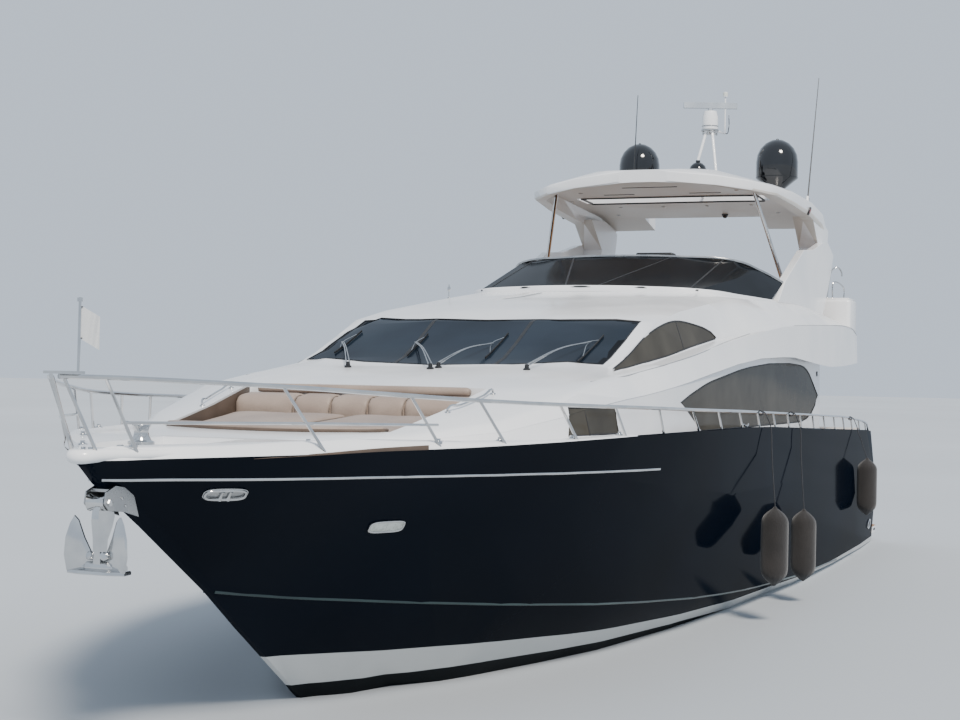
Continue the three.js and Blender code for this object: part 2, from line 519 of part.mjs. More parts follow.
const flyRing = ({ x, beltY, beltZ, creaseY, creaseZ, topY, topZ, floorZ }) => bothSides(x, [
  [2450, FLY_UNDERSIDE + GAP], [2460, Math.min(beltZ + 60, FLY_UNDERSIDE)], [beltY, beltZ], [creaseY, creaseZ],
  [creaseY - 90, creaseZ + Math.min(60, (topZ - creaseZ) * 0.5)], [topY, topZ], [topY - COAMING, topZ - 4], [topY - COAMING - 30, floorZ],
]);
const flyRings = FLY.map(flyRing);
const flybridge = loft(flyRings);
add('flybridge', geometryOf(flybridge), GELCOAT);

// Flybridge windscreen: a raked wrap-round screen on the brow and the coaming. Columns: foot, then head.
const SCREEN = [
  [[-2570, 2300, 4440], [-3480, 2300, 4750]],
  [[-1500, 2060, 4450], [-2950, 2060, 4900]],
  [[-460, 1670, 4480], [-2480, 1740, 5030]],
  [[-220, 900, 4510], [-2260, 930, 5080]],
];
const screenSections = [...SCREEN, [[-140, 0, 4520], [-2190, 0, 5095]], ...SCREEN.map((pair) => pair.map(([x, y, z]) => [x, -y, z])).reverse()];
const SCREEN_GLASS = 14;
const screenFoot = 60;
const flyScreen = loft(screenSections.map(([foot, head]) => {
  const reach = head.map((value, axis) => value - foot[axis]);
  const length = Math.hypot(...reach);
  const low = foot.map((value, axis) => value - (reach[axis] / length) * screenFoot);
  return [low, head, [head[0], head[1] * 0.996, head[2] - SCREEN_GLASS], [low[0], low[1] * 0.996, low[2] - SCREEN_GLASS]];
}), true);

// Arch fins on the coaming, and the hardtop with its legs
const finShape = (rise = 0) => polygon([
  [-2900, 4380], [-3540, 4790], [-5120, 5400], [-6000, 5475], [-7000, 5680], [-7540, 5720], [-8160, 5540], [-7870, 5140], [-7050, 4340],
].map(([x, z]) => [x, z + rise]));
const FIN = { y0: 2215, y1: 2335 };
const flyTop = loft(lifted(flyRings));
const finPlate = (side, rise) => (side > 0
  ? sidePlate(finShape(rise), FIN.y0 - rise, FIN.y1 + rise)
  : sidePlate(finShape(rise), -FIN.y1 - rise, -FIN.y0 + rise));
const finRoom = SIDES.map(([, side]) => finPlate(side, GAP));
const roofs = [loft(lifted(HOUSE.map((row) => houseRing(row)), 0.5)), loft(lifted(flyRings, 0.5))];
add('flybridge_screen', geometryOf(cut(flyScreen, ...roofs, ...finRoom)), TINTED);
SIDES.forEach(([label, side]) => add(`arch_fin_${label}`, geometryOf(cut(finPlate(side, 0), flyTop, loft(lifted(flyRings, 0.6)))), GELCOAT));

const HARDTOP = rows(['x', 'half', 'edgeTop', 'edgeBottom', 'crownTop', 'crownBottom'], [
  [-3300, 420, 6440, 6400, 6470, 6390],
  [-3430, 1230, 6420, 6330, 6500, 6370],
  [-3650, 1760, 6400, 6260, 6530, 6360],
  [-3980, 2090, 6380, 6200, 6560, 6350],
  [-5000, 2200, 6395, 6140, 6600, 6330],
  [-6200, 2260, 6370, 6080, 6590, 6300],
  [-7400, 2250, 6290, 5990, 6540, 6240],
  [-8250, 2180, 6080, 5880, 6330, 6060],
]);
const hardtopRing = ({ x, half, edgeTop, edgeBottom, crownTop, crownBottom }) => bothSides(x, [
  [half * 0.4, crownBottom], [half * 0.86, crownBottom - 8], [half * 0.9, edgeBottom], [half * 0.985, edgeBottom],
  [half, edgeBottom + (edgeTop - edgeBottom) * 0.2], [half, edgeTop - (edgeTop - edgeBottom) * 0.2],
  [half * 0.96, edgeTop], [half * 0.5, crownTop],
]);
const hardtopRings = HARDTOP.map(hardtopRing);
const legShape = polygon([
  [-6560, 6110], [-7240, 5610], [-7160, 5400], [-7700, 5400], [-8120, 5560], [-8245, 5900], [-8245, 6000], [-7500, 6150],
]);
const LEG = { y0: 1860, y1: 2215 };
const SUNROOF = { x0: -5600, x1: -4950, half: 1650 };
const AFT_CUT = { x: -7500, half: 1100 };
const hardtop = cut(
  join(loft(hardtopRings), sidePlate(legShape, LEG.y0, LEG.y1), sidePlate(legShape, -LEG.y1, -LEG.y0)),
  box(SUNROOF.x0, -SUNROOF.half, 6000, SUNROOF.x1, SUNROOF.half, 7000),
  box(-9000, -AFT_CUT.half, 6000, AFT_CUT.x, AFT_CUT.half, 7000),
  ...finRoom,
);
add('hardtop', geometryOf(hardtop), GELCOAT);

// Stainless poles from the coaming to the hardtop
const POLE = { top: [-3950, 1680, 6300], foot: [-4780, 2200, 4400], radius: 32 };
const hardtopUnder = loft(lifted(hardtopRings, -GAP));
SIDES.forEach(([label, side]) => {
  const bar = rod([POLE.foot[0], side * POLE.foot[1], POLE.foot[2]], [POLE.top[0], side * POLE.top[1], POLE.top[2] + 60], POLE.radius, 10);
  const upper = box(-5000, -3000, 6500, -3000, 3000, 7000);
  add(`hardtop_pole_${label}`, geometryOf(cut(bar, flyTop, hardtopUnder, upper, ...finRoom)), STEEL);
});

// Radar mast on the hardtop, with its turning scanner
const RADAR = { x: -8000, apex: 7900, pedestal: 8290, radius: 150, pole: [-8555, 158] };
const hardtopTop = loft(lifted(hardtopRings));
const mastFeet = [[-7450, 330], [-7450, -330]];
const mast = join(
  ...mastFeet.map(([x, y]) => rod([x, y, 6400], [RADAR.x + 60, Math.sign(y) * 55, RADAR.apex], 30, 10)),
  turned([[0, -30], [130, -30], [RADAR.radius, 60], [RADAR.radius, 260], [120, 380], [0, 390]], [RADAR.x, 0, RADAR.apex], 16),
  rod([RADAR.x, 0, RADAR.apex + 40], [...RADAR.pole, RADAR.apex + 40], 22, 8),
  rod([...RADAR.pole, RADAR.apex + 25], [...RADAR.pole, 8670], 16, 8),
  turned([[0, 0], [45, 0], [45, 90], [0, 100]], [...RADAR.pole, 8640], 10),
);
add('radar_mast', geometryOf(cut(mast, hardtopTop)), GELCOAT);
const SCANNER = { length: 1010, depth: 90, height: 110, z: RADAR.pedestal + 45, yaw: 0.36 };
const bar = new THREE.BoxGeometry(SCANNER.depth, SCANNER.length, SCANNER.height);
bar.translate(0, 0, SCANNER.height / 2);
bar.rotateZ(SCANNER.yaw);
bar.translate(RADAR.x, 0, SCANNER.z);
const scannerNeck = rod([RADAR.x, 0, RADAR.pedestal + GAP], [RADAR.x, 0, SCANNER.z + 20], 50, 12);
add('radar_scanner', geometryOf(join(solid(bar), scannerNeck)), GELCOAT);

// Satellite domes and whip aerials
const DOME = { x: -7830, y: 1320, radius: 385, base: 6820, top: 7680 };
const domeProfile = [
  [0, -400], [170, -400], [150, -60], [300, 60], [DOME.radius, 130], [DOME.radius, 440],
  ...Array.from({ length: 5 }, (_, i) => {
    const angle = (Math.PI / 2) * ((i + 1) / 5);
    return [i === 4 ? 0 : DOME.radius * Math.cos(angle), 440 + 420 * Math.sin(angle)];
  }),
];
SIDES.forEach(([label, side]) => {
  add(`dome_${label}`, geometryOf(cut(turned(domeProfile, [DOME.x, side * DOME.y, DOME.base], 24), hardtopTop)), BLACK);
});
const WHIPS = [['port', [-7420, 1950, 6230], [-8150, 2010, 8850]], ['starboard', [-7110, -1250, 6300], [-7520, -1290, 8560]]];
WHIPS.forEach(([label, foot, head]) => {
  const socket = foot.map((value, axis) => value + (head[axis] - value) * 0.12);
  add(`whip_aerial_${label}`, geometryOf(cut(join(rod(foot, head, 14, 6, 6), rod(foot, socket, 28, 8)), hardtopTop)), STEEL);
});

// Rails. Columns: foot x, rail x, rail half-breadth, rail height.
const RAIL = rows(['footX', 'x', 'y', 'z'], [
  [12300, 12700, 50, 3070],
  [12020, 12450, 250, 3068],
  [10740, 11190, 1090, 3020],
  [9680, 10000, 1700, 2955],
  [8950, 9240, 2040, 2920],
  [7910, 8100, 2420, 2885],
  [7010, 7130, 2680, 2865],
  [5950, 6050, 2840, 2845],
  [4750, 4900, 2920, 2820],
  [3700, 3760, 2950, 2800],
  [2600, 2650, 2960, 2782],
  [1500, 1540, 2955, 2762],
  [400, 430, 2945, 2742],
  [-700, -680, 2930, 2720],
  [-1800, -1790, 2910, 2697],
  [-3000, -3000, 2885, 2672],
  [-4200, -4200, 2855, 2645],
  [-5400, -5400, 2825, 2617],
  [-6600, -6600, 2795, 2590],
  [-7800, -7800, 2755, 2550],
  [-9000, -9000, 2715, 2500],
  [-10100, -10100, 2680, 2430],
  [-10750, -10750, 2660, 2330],
]);
const RAIL_RADIUS = 20;
const footHeight = (x) => between(HULL, x, 'sheerZ') + (x > FOREDECK_END_X ? 5 : -40);
const railFoot = ({ footX }, side) => {
  const edge = between(HULL, footX, 'sheerY');
  return [footX, side * (edge - (footX > FOREDECK_END_X ? 22 : 55)), footHeight(footX)];
};
const MID_RAIL = { first: 1, last: 4, height: 0.45, overrun: 110 };
function railing(side) {
  const line = [[12735, side * 33, 3070], ...RAIL.map(({ x, y, z }) => [x, side * y, z]), [-10790, side * 2655, 2230]];
  const top = bentTube(line, RAIL_RADIUS, 56, 7);
  const posts = RAIL.slice(0, -1).map((row) => rod(railFoot(row, side), [row.x, side * row.y, row.z], 14, 6));
  const middle = RAIL.slice(MID_RAIL.first, MID_RAIL.last).map((row) => {
    const foot = railFoot(row, side);
    return [row.x, side * row.y, row.z].map((value, axis) => foot[axis] + (value - foot[axis]) * MID_RAIL.height);
  });
  const last = middle[middle.length - 1];
  const midRail = bentTube([...middle, [last[0] - MID_RAIL.overrun, last[1] + side * 52, last[2]]], 12, 9, 6);
  const inboard = side > 0 ? box(-13000, -500, 0, 14000, 12, 9000) : box(-13000, -12, 0, 14000, 500, 9000);
  return cut(join(top, ...posts, midRail), hullTop, foredeckRoom, inboard);
}
const railings = SIDES.map(([, side]) => railing(side));
const BOW_RAIL_X = 6500;
SIDES.forEach(([label], i) => {
  const ahead = box(BOW_RAIL_X + GAP, -4000, 0, 14000, 4000, 5000);
  const behind = box(-13000, -4000, 0, BOW_RAIL_X, 4000, 5000);
  add(`bow_rail_${label}`, geometryOf(railings[i].intersect(ahead)), STEEL);
  add(`guard_rail_${label}`, geometryOf(railings[i].intersect(behind)), STEEL);
});

// Jackstaff on the plate that closes the pulpit
const pulpitPlate = floorPlate(polygon([[12570, -150], [12720, -115], [12800, -60], [12800, 60], [12720, 115], [12570, 150]]), 3088.4, 3110);
const STAFF = { x: 12600, y: 110, height: 540 };
const jackstaff = join(
  pulpitPlate,
  rod([STAFF.x, STAFF.y, 3100], [STAFF.x - 5, STAFF.y, 3100 + STAFF.height], 11, 8),
  turned([[0, 0], [22, 0], [22, 30], [0, 34]], [STAFF.x - 5, STAFF.y, 3090 + STAFF.height], 8),
);
add('jackstaff', geometryOf(jackstaff), STEEL);

// Anchor and the roller that it hangs from, on the stem
const ROLLER = { x: 12120, z: 2095, y: 90, pin: 40 };
const cheekShape = polygon([[11800, 2190], [12040, 2225], [12170, 2180], [12190, 2090], [12130, 2035], [11900, 2010], [11700, 1960]]);
const cheek = (side) => sidePlate(cheekShape, side * ROLLER.y - 6, side * ROLLER.y + 6);
const rollerPin = rod([ROLLER.x, -ROLLER.y, ROLLER.z], [ROLLER.x, ROLLER.y, ROLLER.z], ROLLER.pin, 12);
const rollerBridge = box(11900, -ROLLER.y, 2175, 12100, ROLLER.y, 2200);
const hullRoom = loft(hullRings.map((ring) => ring.map(([x, y, z]) => [x + GAP, y * 1.004, z])));
const roller = join(cheek(PORT), cheek(STARBOARD), rollerPin, rollerBridge);
add('anchor_roller', geometryOf(cut(roller, hullRoom, loft(lifted(foredeckRings, -GAP)))), STEEL);
const ANCHOR = { x: ROLLER.x, top: ROLLER.z - ROLLER.pin - GAP, crown: 1590, half: 280, plate: 22 };
const shank = box(ANCHOR.x - 40, -14, ANCHOR.crown, ANCHOR.x + 40, 14, ANCHOR.top);
const crownBar = rod([ANCHOR.x, -ANCHOR.half, ANCHOR.crown], [ANCHOR.x, ANCHOR.half, ANCHOR.crown], 26, 10);
function fluke(side) {
  const blade = new THREE.ExtrudeGeometry(polygon([[15, 0], [285, 20], [270, 300], [150, 430], [45, 330]]), { depth: ANCHOR.plate, bevelEnabled: false });
  blade.applyMatrix4(new THREE.Matrix4().set(0, 0, 1, 0, side, 0, 0, 0, 0, 1, 0, 0, 0, 0, 0, 1));
  blade.rotateY(-0.35);
  blade.translate(ANCHOR.x - 10, 0, ANCHOR.crown - 20);
  return solid(facingOut(mergedIndexed(blade)));
}
add('anchor', geometryOf(join(shank, crownBar, fluke(PORT), fluke(STARBOARD))), STEEL);

// Fenders along the port side, hung from the guard rail
const FENDER_SIZE = { radius: 180, length: 1040 };
const FENDERS = rows(['x', 'top'], [[1360, 1530], [-950, 1350], [-7620, 1840]]);
const portRailRoom = join(railings[0], railings[0].translate([0, 0, -GAP]), railings[0].translate([0, GAP, 0]));
FENDERS.forEach(({ x, top }, i) => {
  const { radius, length } = FENDER_SIZE;
  const breadth = Math.max(between(HULL, x, 'sideY'), between(HULL, x, 'sheerY') - 60);
  const y = breadth + radius + 12;
  const profile = [[0, 0], [60, 0], [140, 50], [radius, 150], [radius, length - 150], [140, length - 50], [50, length], [0, length]];
  const railY = between(RAIL, x, 'y');
  const railZ = between(RAIL, x, 'z');
  const sheer = between(HULL, x, 'sheerZ');
  const outside = between(HULL, x, 'sheerY') + 40;
  const rope = join(
    rod([x, y, top - 20], [x, outside, sheer + 30], 10, 6),
    rod([x, outside, sheer + 25], [x, railY, railZ], 10, 6),
  );
  const body = turned(profile, [x, y, top - length], 14);
  add(`fender_${i + 1}`, geometryOf(cut(join(body, rope), portRailRoom)), FENDER);
});

// Foredeck sunpad with its bolster
add('sunpad', geometryOf(padSlab(SUNPAD.back + SUNPAD.bolster, SUNPAD.front, 8, GAP, 95)), CUSHION);
add('sunpad_bolster', geometryOf(padSlab(SUNPAD.back, SUNPAD.back + SUNPAD.bolster - 12, 8, GAP, 290)), CUSHION);

// Anchor locker lid on the floor of the anchor well, hinged along its after edge
add('anchor_locker_lid', geometryOf(box(
  LOCKER.x0 - LOCKER.ledge, -LOCKER.y - LOCKER.ledge, ANCHOR_WELL.floor + GAP,
  LOCKER.x1 + LOCKER.ledge, LOCKER.y + LOCKER.ledge, ANCHOR_WELL.floor + LOCKER.lid,
)), GELCOAT);

// Swim platform, garage door and stern gates
const PLATFORM = { x0: -12200, x1: -11400, half: 2680, z0: 170, z1: 300, corner: 350 };
const platformPlan = new THREE.Shape();
platformPlan.moveTo(PLATFORM.x1, -PLATFORM.half);
platformPlan.lineTo(PLATFORM.x0 + PLATFORM.corner, -PLATFORM.half);
platformPlan.quadraticCurveTo(PLATFORM.x0, -PLATFORM.half, PLATFORM.x0, -PLATFORM.half + PLATFORM.corner);
platformPlan.lineTo(PLATFORM.x0, PLATFORM.half - PLATFORM.corner);
platformPlan.quadraticCurveTo(PLATFORM.x0, PLATFORM.half, PLATFORM.x0 + PLATFORM.corner, PLATFORM.half);
platformPlan.lineTo(PLATFORM.x1, PLATFORM.half);
const hullAftward = loft(hullRings.map((ring) => ring.map(([x, y, z]) => [x - GAP, y, z])));
add('swim_platform', geometryOf(cut(floorPlate(platformPlan, PLATFORM.z0, PLATFORM.z1, 5), hullAftward)), TEAK);

const doorSection = polygon([
  [transomAt(GARAGE_DOOR.z0), GARAGE_DOOR.z0], [transomAt(GARAGE_DOOR.z1), GARAGE_DOOR.z1],
  [transomAt(GARAGE_DOOR.z1) + GARAGE_DOOR.thick, GARAGE_DOOR.z1], [transomAt(GARAGE_DOOR.z0) + GARAGE_DOOR.thick, GARAGE_DOOR.z0],
]);
const doorPanel = sidePlate(doorSection, -GARAGE_DOOR.half, GARAGE_DOOR.half);
add('garage_door', geometryOf(join(doorPanel, garagePin(GARAGE_HINGE.reach, GARAGE_HINGE.pin))), NAVY);

const GATE = { x: -9860, thick: 36, y0: 1570, y1: 2628, z0: DECK_TOP + 60, z1: 2330, pin: 12 };
SIDES.forEach(([label, side]) => {
  const [y0, y1] = side > 0 ? [GATE.y0, GATE.y1] : [-GATE.y1, -GATE.y0];
  const panel = box(GATE.x, y0, GATE.z0, GATE.x + GATE.thick, y1, GATE.z1);
  const hinge = side * (GATE.y1 - GATE.thick / 2);
  const pin = rod([GATE.x + GATE.thick / 2, hinge, DECK_TOP + GAP], [GATE.x + GATE.thick / 2, hinge, GATE.z1 + 20], GATE.pin, 10);
  add(`stern_gate_${label}`, geometryOf(join(panel, pin)), STEEL);
});

// Engines: plain blocks on the engine room floor
const ENGINE_BLOCK = { x0: -8050, x1: -5750, y0: 420, y1: 1420, z1: 950 };
SIDES.forEach(([label, side]) => {
  const [y0, y1] = side > 0 ? [ENGINE_BLOCK.y0, ENGINE_BLOCK.y1] : [-ENGINE_BLOCK.y1, -ENGINE_BLOCK.y0];
  add(`engine_${label}`, geometryOf(box(ENGINE_BLOCK.x0, y0, ENGINE_ROOM.z0 + GAP, ENGINE_BLOCK.x1, y1, ENGINE_BLOCK.z1)), ENGINE);
});

// Stern gear: inclined shafts in struts, five-bladed propellers and rudders
const SHAFT = { y: RUDDER.y, slope: 0.19, x0: -7100, x1: -9640, z0: -560, radius: 36 };
const shaftZ = (x) => SHAFT.z0 + (x - SHAFT.x0) * SHAFT.slope;
const PROP = { x: -9650, hub: 85, hubLength: 260, blade: 375, blades: 5, pitch: 0.62 };
const shaftAngle = Math.atan(SHAFT.slope);
const alongShaft = (x, side) => [x, side * SHAFT.y, shaftZ(x)];
const hullUnder = loft(lifted(hullRings, -GAP));
function propeller(side) {
  const hub = new THREE.CylinderGeometry(PROP.hub, PROP.hub * 0.9, PROP.hubLength, 16);
  hub.rotateZ(-Math.PI / 2);
  hub.translate(-PROP.hubLength / 2, 0, 0);
  const cap = new THREE.ConeGeometry(PROP.hub * 0.9, 120, 16);
  cap.rotateZ(Math.PI / 2);
  cap.translate(-PROP.hubLength - 59, 0, 0);
  const outline = new THREE.Shape();
  outline.moveTo(-70, 60);
  outline.bezierCurveTo(-190, 200, -160, PROP.blade, 20, PROP.blade);
  outline.bezierCurveTo(170, PROP.blade - 20, 190, 200, 70, 60);
  const blades = Array.from({ length: PROP.blades }, (_, i) => {
    const blade = new THREE.ExtrudeGeometry(outline, { depth: 14, bevelEnabled: false, curveSegments: 5 });
    blade.translate(0, 0, -7);
    blade.rotateY(side * PROP.pitch);
    blade.rotateX(Math.PI / 2 + (2 * Math.PI * i) / PROP.blades);
    blade.translate(-PROP.hubLength / 2, 0, 0);
    return blade;
  });
  return [hub, cap, ...blades].map((piece) => {
    piece.rotateY(-shaftAngle);
    piece.translate(...alongShaft(PROP.x, side));
    return solid(piece);
  }).reduce((whole, piece) => whole.add(piece));
}
SIDES.forEach(([label, side]) => {
  const barrel = rod(alongShaft(PROP.x + GAP, side), alongShaft(PROP.x + 300, side), 62, 12);
  const strut = box(PROP.x + 60, side * SHAFT.y - 14, shaftZ(PROP.x + 150), PROP.x + 240, side * SHAFT.y + 14, -300);
  const shaft = rod(alongShaft(PROP.x + 2, side), alongShaft(SHAFT.x0, side), SHAFT.radius, 12);
  add(`shaft_${label}`, geometryOf(cut(join(barrel, strut, shaft), hullUnder)), BRONZE);
  add(`propeller_${label}`, geometryOf(propeller(side)), BRONZE);
});
const rudderShape = polygon([
  [RUDDER.x + 230, RUDDER.bladeTop], [RUDDER.x - 330, RUDDER.bladeTop + 20], [RUDDER.x - 300, RUDDER.bladeBottom], [RUDDER.x + 150, RUDDER.bladeBottom],
]);
SIDES.forEach(([label, side]) => {
  const y = sideRudderY(side);
  const blade = sidePlate(rudderShape, y - 25, y + 25);
  const stock = rod([RUDDER.x, y, RUDDER.bladeTop - 300], [RUDDER.x, y, RUDDER.top], RUDDER.stock, 16);
  add(`rudder_${label}`, geometryOf(join(blade, stock)), BRONZE);
});

// Flybridge helm with its wheel, seats and settee
const CONSOLE = { x0: -2520, x1: -1920, y0: -120, y1: 920, top: 5080 };
const consoleShape = polygon([
  [CONSOLE.x1, FLY_FLOOR_Z + GAP], [CONSOLE.x1, 4980], [-2150, CONSOLE.top], [-2330, CONSOLE.top - 10], [CONSOLE.x0, 4760], [-2480, FLY_FLOOR_Z + GAP],
]);
const WHEEL = { x: -2500, y: 400, z: 4700, radius: 190, tilt: 0.5, rim: 15 };
const wheelAxis = [-Math.cos(WHEEL.tilt), 0, Math.sin(WHEEL.tilt)];
const onWheelAxis = (distance) => [WHEEL.x + wheelAxis[0] * distance, WHEEL.y, WHEEL.z + wheelAxis[2] * distance];
const screenRoom = loft(screenSections.map(([foot, head]) => [[foot[0] + 60, foot[1] * 1.05, foot[2] + 400], [head[0] - 60, head[1] * 1.05, head[2] + 400],
  [head[0] - 60, head[1], head[2] - 45], [foot[0] + 60, foot[1], foot[2] - 45]]), true);
const consoleSolid = cut(sidePlate(consoleShape, CONSOLE.y0, CONSOLE.y1), screenRoom);
add('helm_console', geometryOf(join(consoleSolid, rod(onWheelAxis(-120), onWheelAxis(60), 45, 12))), DARK_CUSHION);
const rim = new THREE.TorusGeometry(WHEEL.radius, WHEEL.rim, 6, 20);
rim.rotateY(Math.PI / 2 + WHEEL.tilt);
rim.translate(...onWheelAxis(105));
const spokes = [0, 2.1, 4.2].map((angle) => {
  const outward = [Math.sin(WHEEL.tilt) * Math.sin(angle), Math.cos(angle), Math.cos(WHEEL.tilt) * Math.sin(angle)];
  return rod(onWheelAxis(90), onWheelAxis(105).map((value, axis) => value + outward[axis] * WHEEL.radius), 12, 6);
});
add('helm_wheel', geometryOf(join(solid(mergedIndexed(rim)), rod(onWheelAxis(60 + GAP), onWheelAxis(115), 40, 12), ...spokes)), DARK_CUSHION);

const seatBase = FLY_FLOOR_Z + GAP;
const helmSeat = join(
  box(-3420, 30, seatBase, -3220, 770, 4220),
  box(-3560, -60, 4210, -3060, 860, 4330),
  box(-3660, -60, 4300, -3540, 860, 4860),
);
add('helm_seat', geometryOf(helmSeat), CUSHION);
const settee = join(
  box(-7700, -2120, seatBase, -7150, 1500, 4270),
  box(-7900, -2120, seatBase, -7690, 1500, 4640),
  box(-7160, -2120, seatBase, -5000, -1560, 4270),
  box(-7700, -2170, seatBase, -5000, -2080, 4430),
);
add('flybridge_settee', geometryOf(settee), CUSHION);
add('flybridge_table', geometryOf(join(box(-6700, -1200, 4500, -5200, -300, 4540), box(-6050, -850, seatBase, -5850, -650, 4510))), TEAK);
const bench = join(
  box(-10900, -1450, MAIN_DECK_Z + GAP, -10350, 1450, 2200),
  box(-11000, -1450, MAIN_DECK_Z + 200, -10880, 1450, 2600),
);
add('cockpit_bench', geometryOf(cut(bench, hullTop)), CUSHION);

export default yacht;
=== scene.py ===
# %% [markdown]
# # A motor yacht, dressed in Blender
# The solids of the boat are already modelled and packed as a fixed frame: x points to the
# bow, y to port, z up, and z = 0 is the waterline. This notebook gives them finishes and
# adds what a maker fits afterwards: trim, gaskets, rails, cushions, ropes and lamps.

# %% The frame
import json
import math
import bmesh
import bpy
from mathutils import Matrix, Vector
from mathutils.bvhtree import BVHTree

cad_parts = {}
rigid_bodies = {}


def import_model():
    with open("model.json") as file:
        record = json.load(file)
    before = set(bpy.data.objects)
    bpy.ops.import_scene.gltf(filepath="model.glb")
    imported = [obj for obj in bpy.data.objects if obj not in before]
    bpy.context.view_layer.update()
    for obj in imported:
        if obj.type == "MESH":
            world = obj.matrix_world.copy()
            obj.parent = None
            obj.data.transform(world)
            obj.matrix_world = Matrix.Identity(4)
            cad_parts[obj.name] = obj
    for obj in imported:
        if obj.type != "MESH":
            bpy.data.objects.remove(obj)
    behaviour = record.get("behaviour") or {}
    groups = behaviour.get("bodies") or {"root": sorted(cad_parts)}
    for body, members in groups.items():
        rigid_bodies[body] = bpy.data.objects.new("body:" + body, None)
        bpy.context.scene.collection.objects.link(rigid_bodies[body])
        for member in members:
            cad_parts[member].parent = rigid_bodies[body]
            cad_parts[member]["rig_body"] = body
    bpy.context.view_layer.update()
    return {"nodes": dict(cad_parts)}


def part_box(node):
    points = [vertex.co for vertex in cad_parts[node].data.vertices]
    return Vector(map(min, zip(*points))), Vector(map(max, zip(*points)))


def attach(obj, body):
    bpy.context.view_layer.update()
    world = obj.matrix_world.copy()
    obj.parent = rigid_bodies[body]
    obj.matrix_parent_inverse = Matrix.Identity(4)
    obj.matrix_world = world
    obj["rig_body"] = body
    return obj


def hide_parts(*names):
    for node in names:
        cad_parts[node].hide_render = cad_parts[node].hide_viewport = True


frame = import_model()

# %% [markdown]
# The camera stands where the picture was taken from: ahead of the bow, a little to port,
# level with the foredeck. Its place was found once by matching corners of the picture with
# corners of the boat. A camera could be aimed with a Track To constraint, but a matrix made
# of its right, up and backward directions also holds the slight roll.

# %% Camera
EYE = Vector((23.285, 7.418, 3.102))
YAW, PITCH, ROLL = 0.366, 0.012, 0.020
FOCAL_PIXELS, PICTURE_WIDTH, SENSOR, FARTHEST = 1685.08, 960, 36, 2000

ahead = Vector((-math.cos(YAW) * math.cos(PITCH), -math.sin(YAW) * math.cos(PITCH), math.sin(PITCH)))
level = Vector((-math.sin(YAW), math.cos(YAW), 0))
upright = level.cross(ahead)
right = math.cos(ROLL) * level + math.sin(ROLL) * upright
above = math.cos(ROLL) * upright - math.sin(ROLL) * level
camera = bpy.data.objects.new("camera", bpy.data.cameras.new("camera"))
camera.matrix_world = Matrix.Translation(EYE) @ Matrix((right, above, -ahead)).transposed().to_4x4()
camera.data.sensor_width = SENSOR
camera.data.lens = FOCAL_PIXELS * SENSOR / PICTURE_WIDTH
camera.data.clip_end = FARTHEST
bpy.context.scene.collection.objects.link(camera)
bpy.context.scene.camera = camera
print("focal length", round(camera.data.lens, 1), "mm")

# %% [markdown]
# Every finish below is a small graph of nodes. Colours are picked as sRGB hex values, as a
# painter's chart gives them, and one function turns them into the linear light that
# Blender computes with. One more function adds a node with its settings and its links.

# %% Colour and nodes
def linear(hex_value):
    """The linear red, green, blue and alpha of an sRGB colour written as #rrggbb."""
    channels = [int(hex_value[start:start + 2], 16) / 255 for start in (1, 3, 5)]
    return [c / 12.92 if c <= 0.04045 else ((c + 0.055) / 1.055) ** 2.4 for c in channels] + [1]


def add(tree, kind, inputs=None, stops=(), **settings):
    """Adds one shader node; an input is a value, a hex colour or the socket it is linked to."""
    made = tree.nodes.new("ShaderNode" + kind)
    for name, value in settings.items():
        setattr(made, name, value)
    for place, (position, shade) in enumerate(stops):
        ramp = made.color_ramp.elements
        stop = ramp[place] if place < 2 else ramp.new(position)
        stop.position = position
        stop.color = linear(shade) if isinstance(shade, str) else (shade, shade, shade, 1)
    for socket, value in (inputs or {}).items():
        if isinstance(value, bpy.types.NodeSocket):
            tree.links.new(value, made.inputs[socket])
        else:
            made.inputs[socket].default_value = linear(value) if isinstance(value, str) else value
    return made


def blank(name):
    """A material with its node tree, its shader and the object coordinates."""
    material = bpy.data.materials.new(name)
    material.use_nodes = True
    tree = material.node_tree
    return material, tree, tree.nodes["Principled BSDF"], add(tree, "TexCoord").outputs["Object"]


def set_sockets(shader, **sockets):
    """Sets the uniform values on the shader's own sockets."""
    for name, value in sockets.items():
        socket = shader.inputs[name.replace("_", " ")]
        socket.default_value = linear(value) if isinstance(value, str) else value


# %% [markdown]
# Most of a boat is a hard, even material with a little life in it: the colour drifts over
# patches as wide as a hand or an arm, and the surface has a grain. One function makes all
# of these from real sizes in metres, so that each finish is a line of numbers. Dark gloss,
# such as glass, gets its shine from a thin clear coat alone, which keeps it dark at a low
# angle.

# %% Even finishes
FINISHES = {}


def finish(name, shades, roughness, patch, grain, height, **sockets):
    """Mottles two shades over patches, varies the gloss and adds bumps of a grain and height."""
    material, tree, shader, place = blank(name)
    clouds = add(tree, "TexNoise", {"Vector": place, "Scale": 1 / patch, "Detail": 3.0}).outputs["Fac"]
    tint = add(tree, "ValToRGB", {"Fac": clouds}, stops=((0.35, shades[0]), (0.65, shades[1])))
    gloss = add(tree, "MapRange", {"Value": clouds, "From Min": 0.3, "From Max": 0.7,
                                   "To Min": roughness * 0.8, "To Max": roughness * 1.2})
    fine = add(tree, "TexNoise", {"Vector": place, "Scale": 1 / grain, "Detail": 2.0}).outputs["Fac"]
    bump = add(tree, "Bump", {"Height": fine, "Distance": height, "Strength": 0.5})
    tree.links.new(tint.outputs["Color"], shader.inputs["Base Color"])
    tree.links.new(gloss.outputs["Result"], shader.inputs["Roughness"])
    tree.links.new(bump.outputs["Normal"], shader.inputs["Normal"])
    set_sockets(shader, **sockets)
    FINISHES[name] = material
    return material


# White gelcoat, sprayed into a polished mould: bright, with long soft ripples
finish("white_gelcoat", ("#e9ebee", "#f1f2f3"), 0.22, 1.4, 0.35, 0.0006, IOR=1.5,
       Coat_Weight=0.25, Coat_Roughness=0.06)
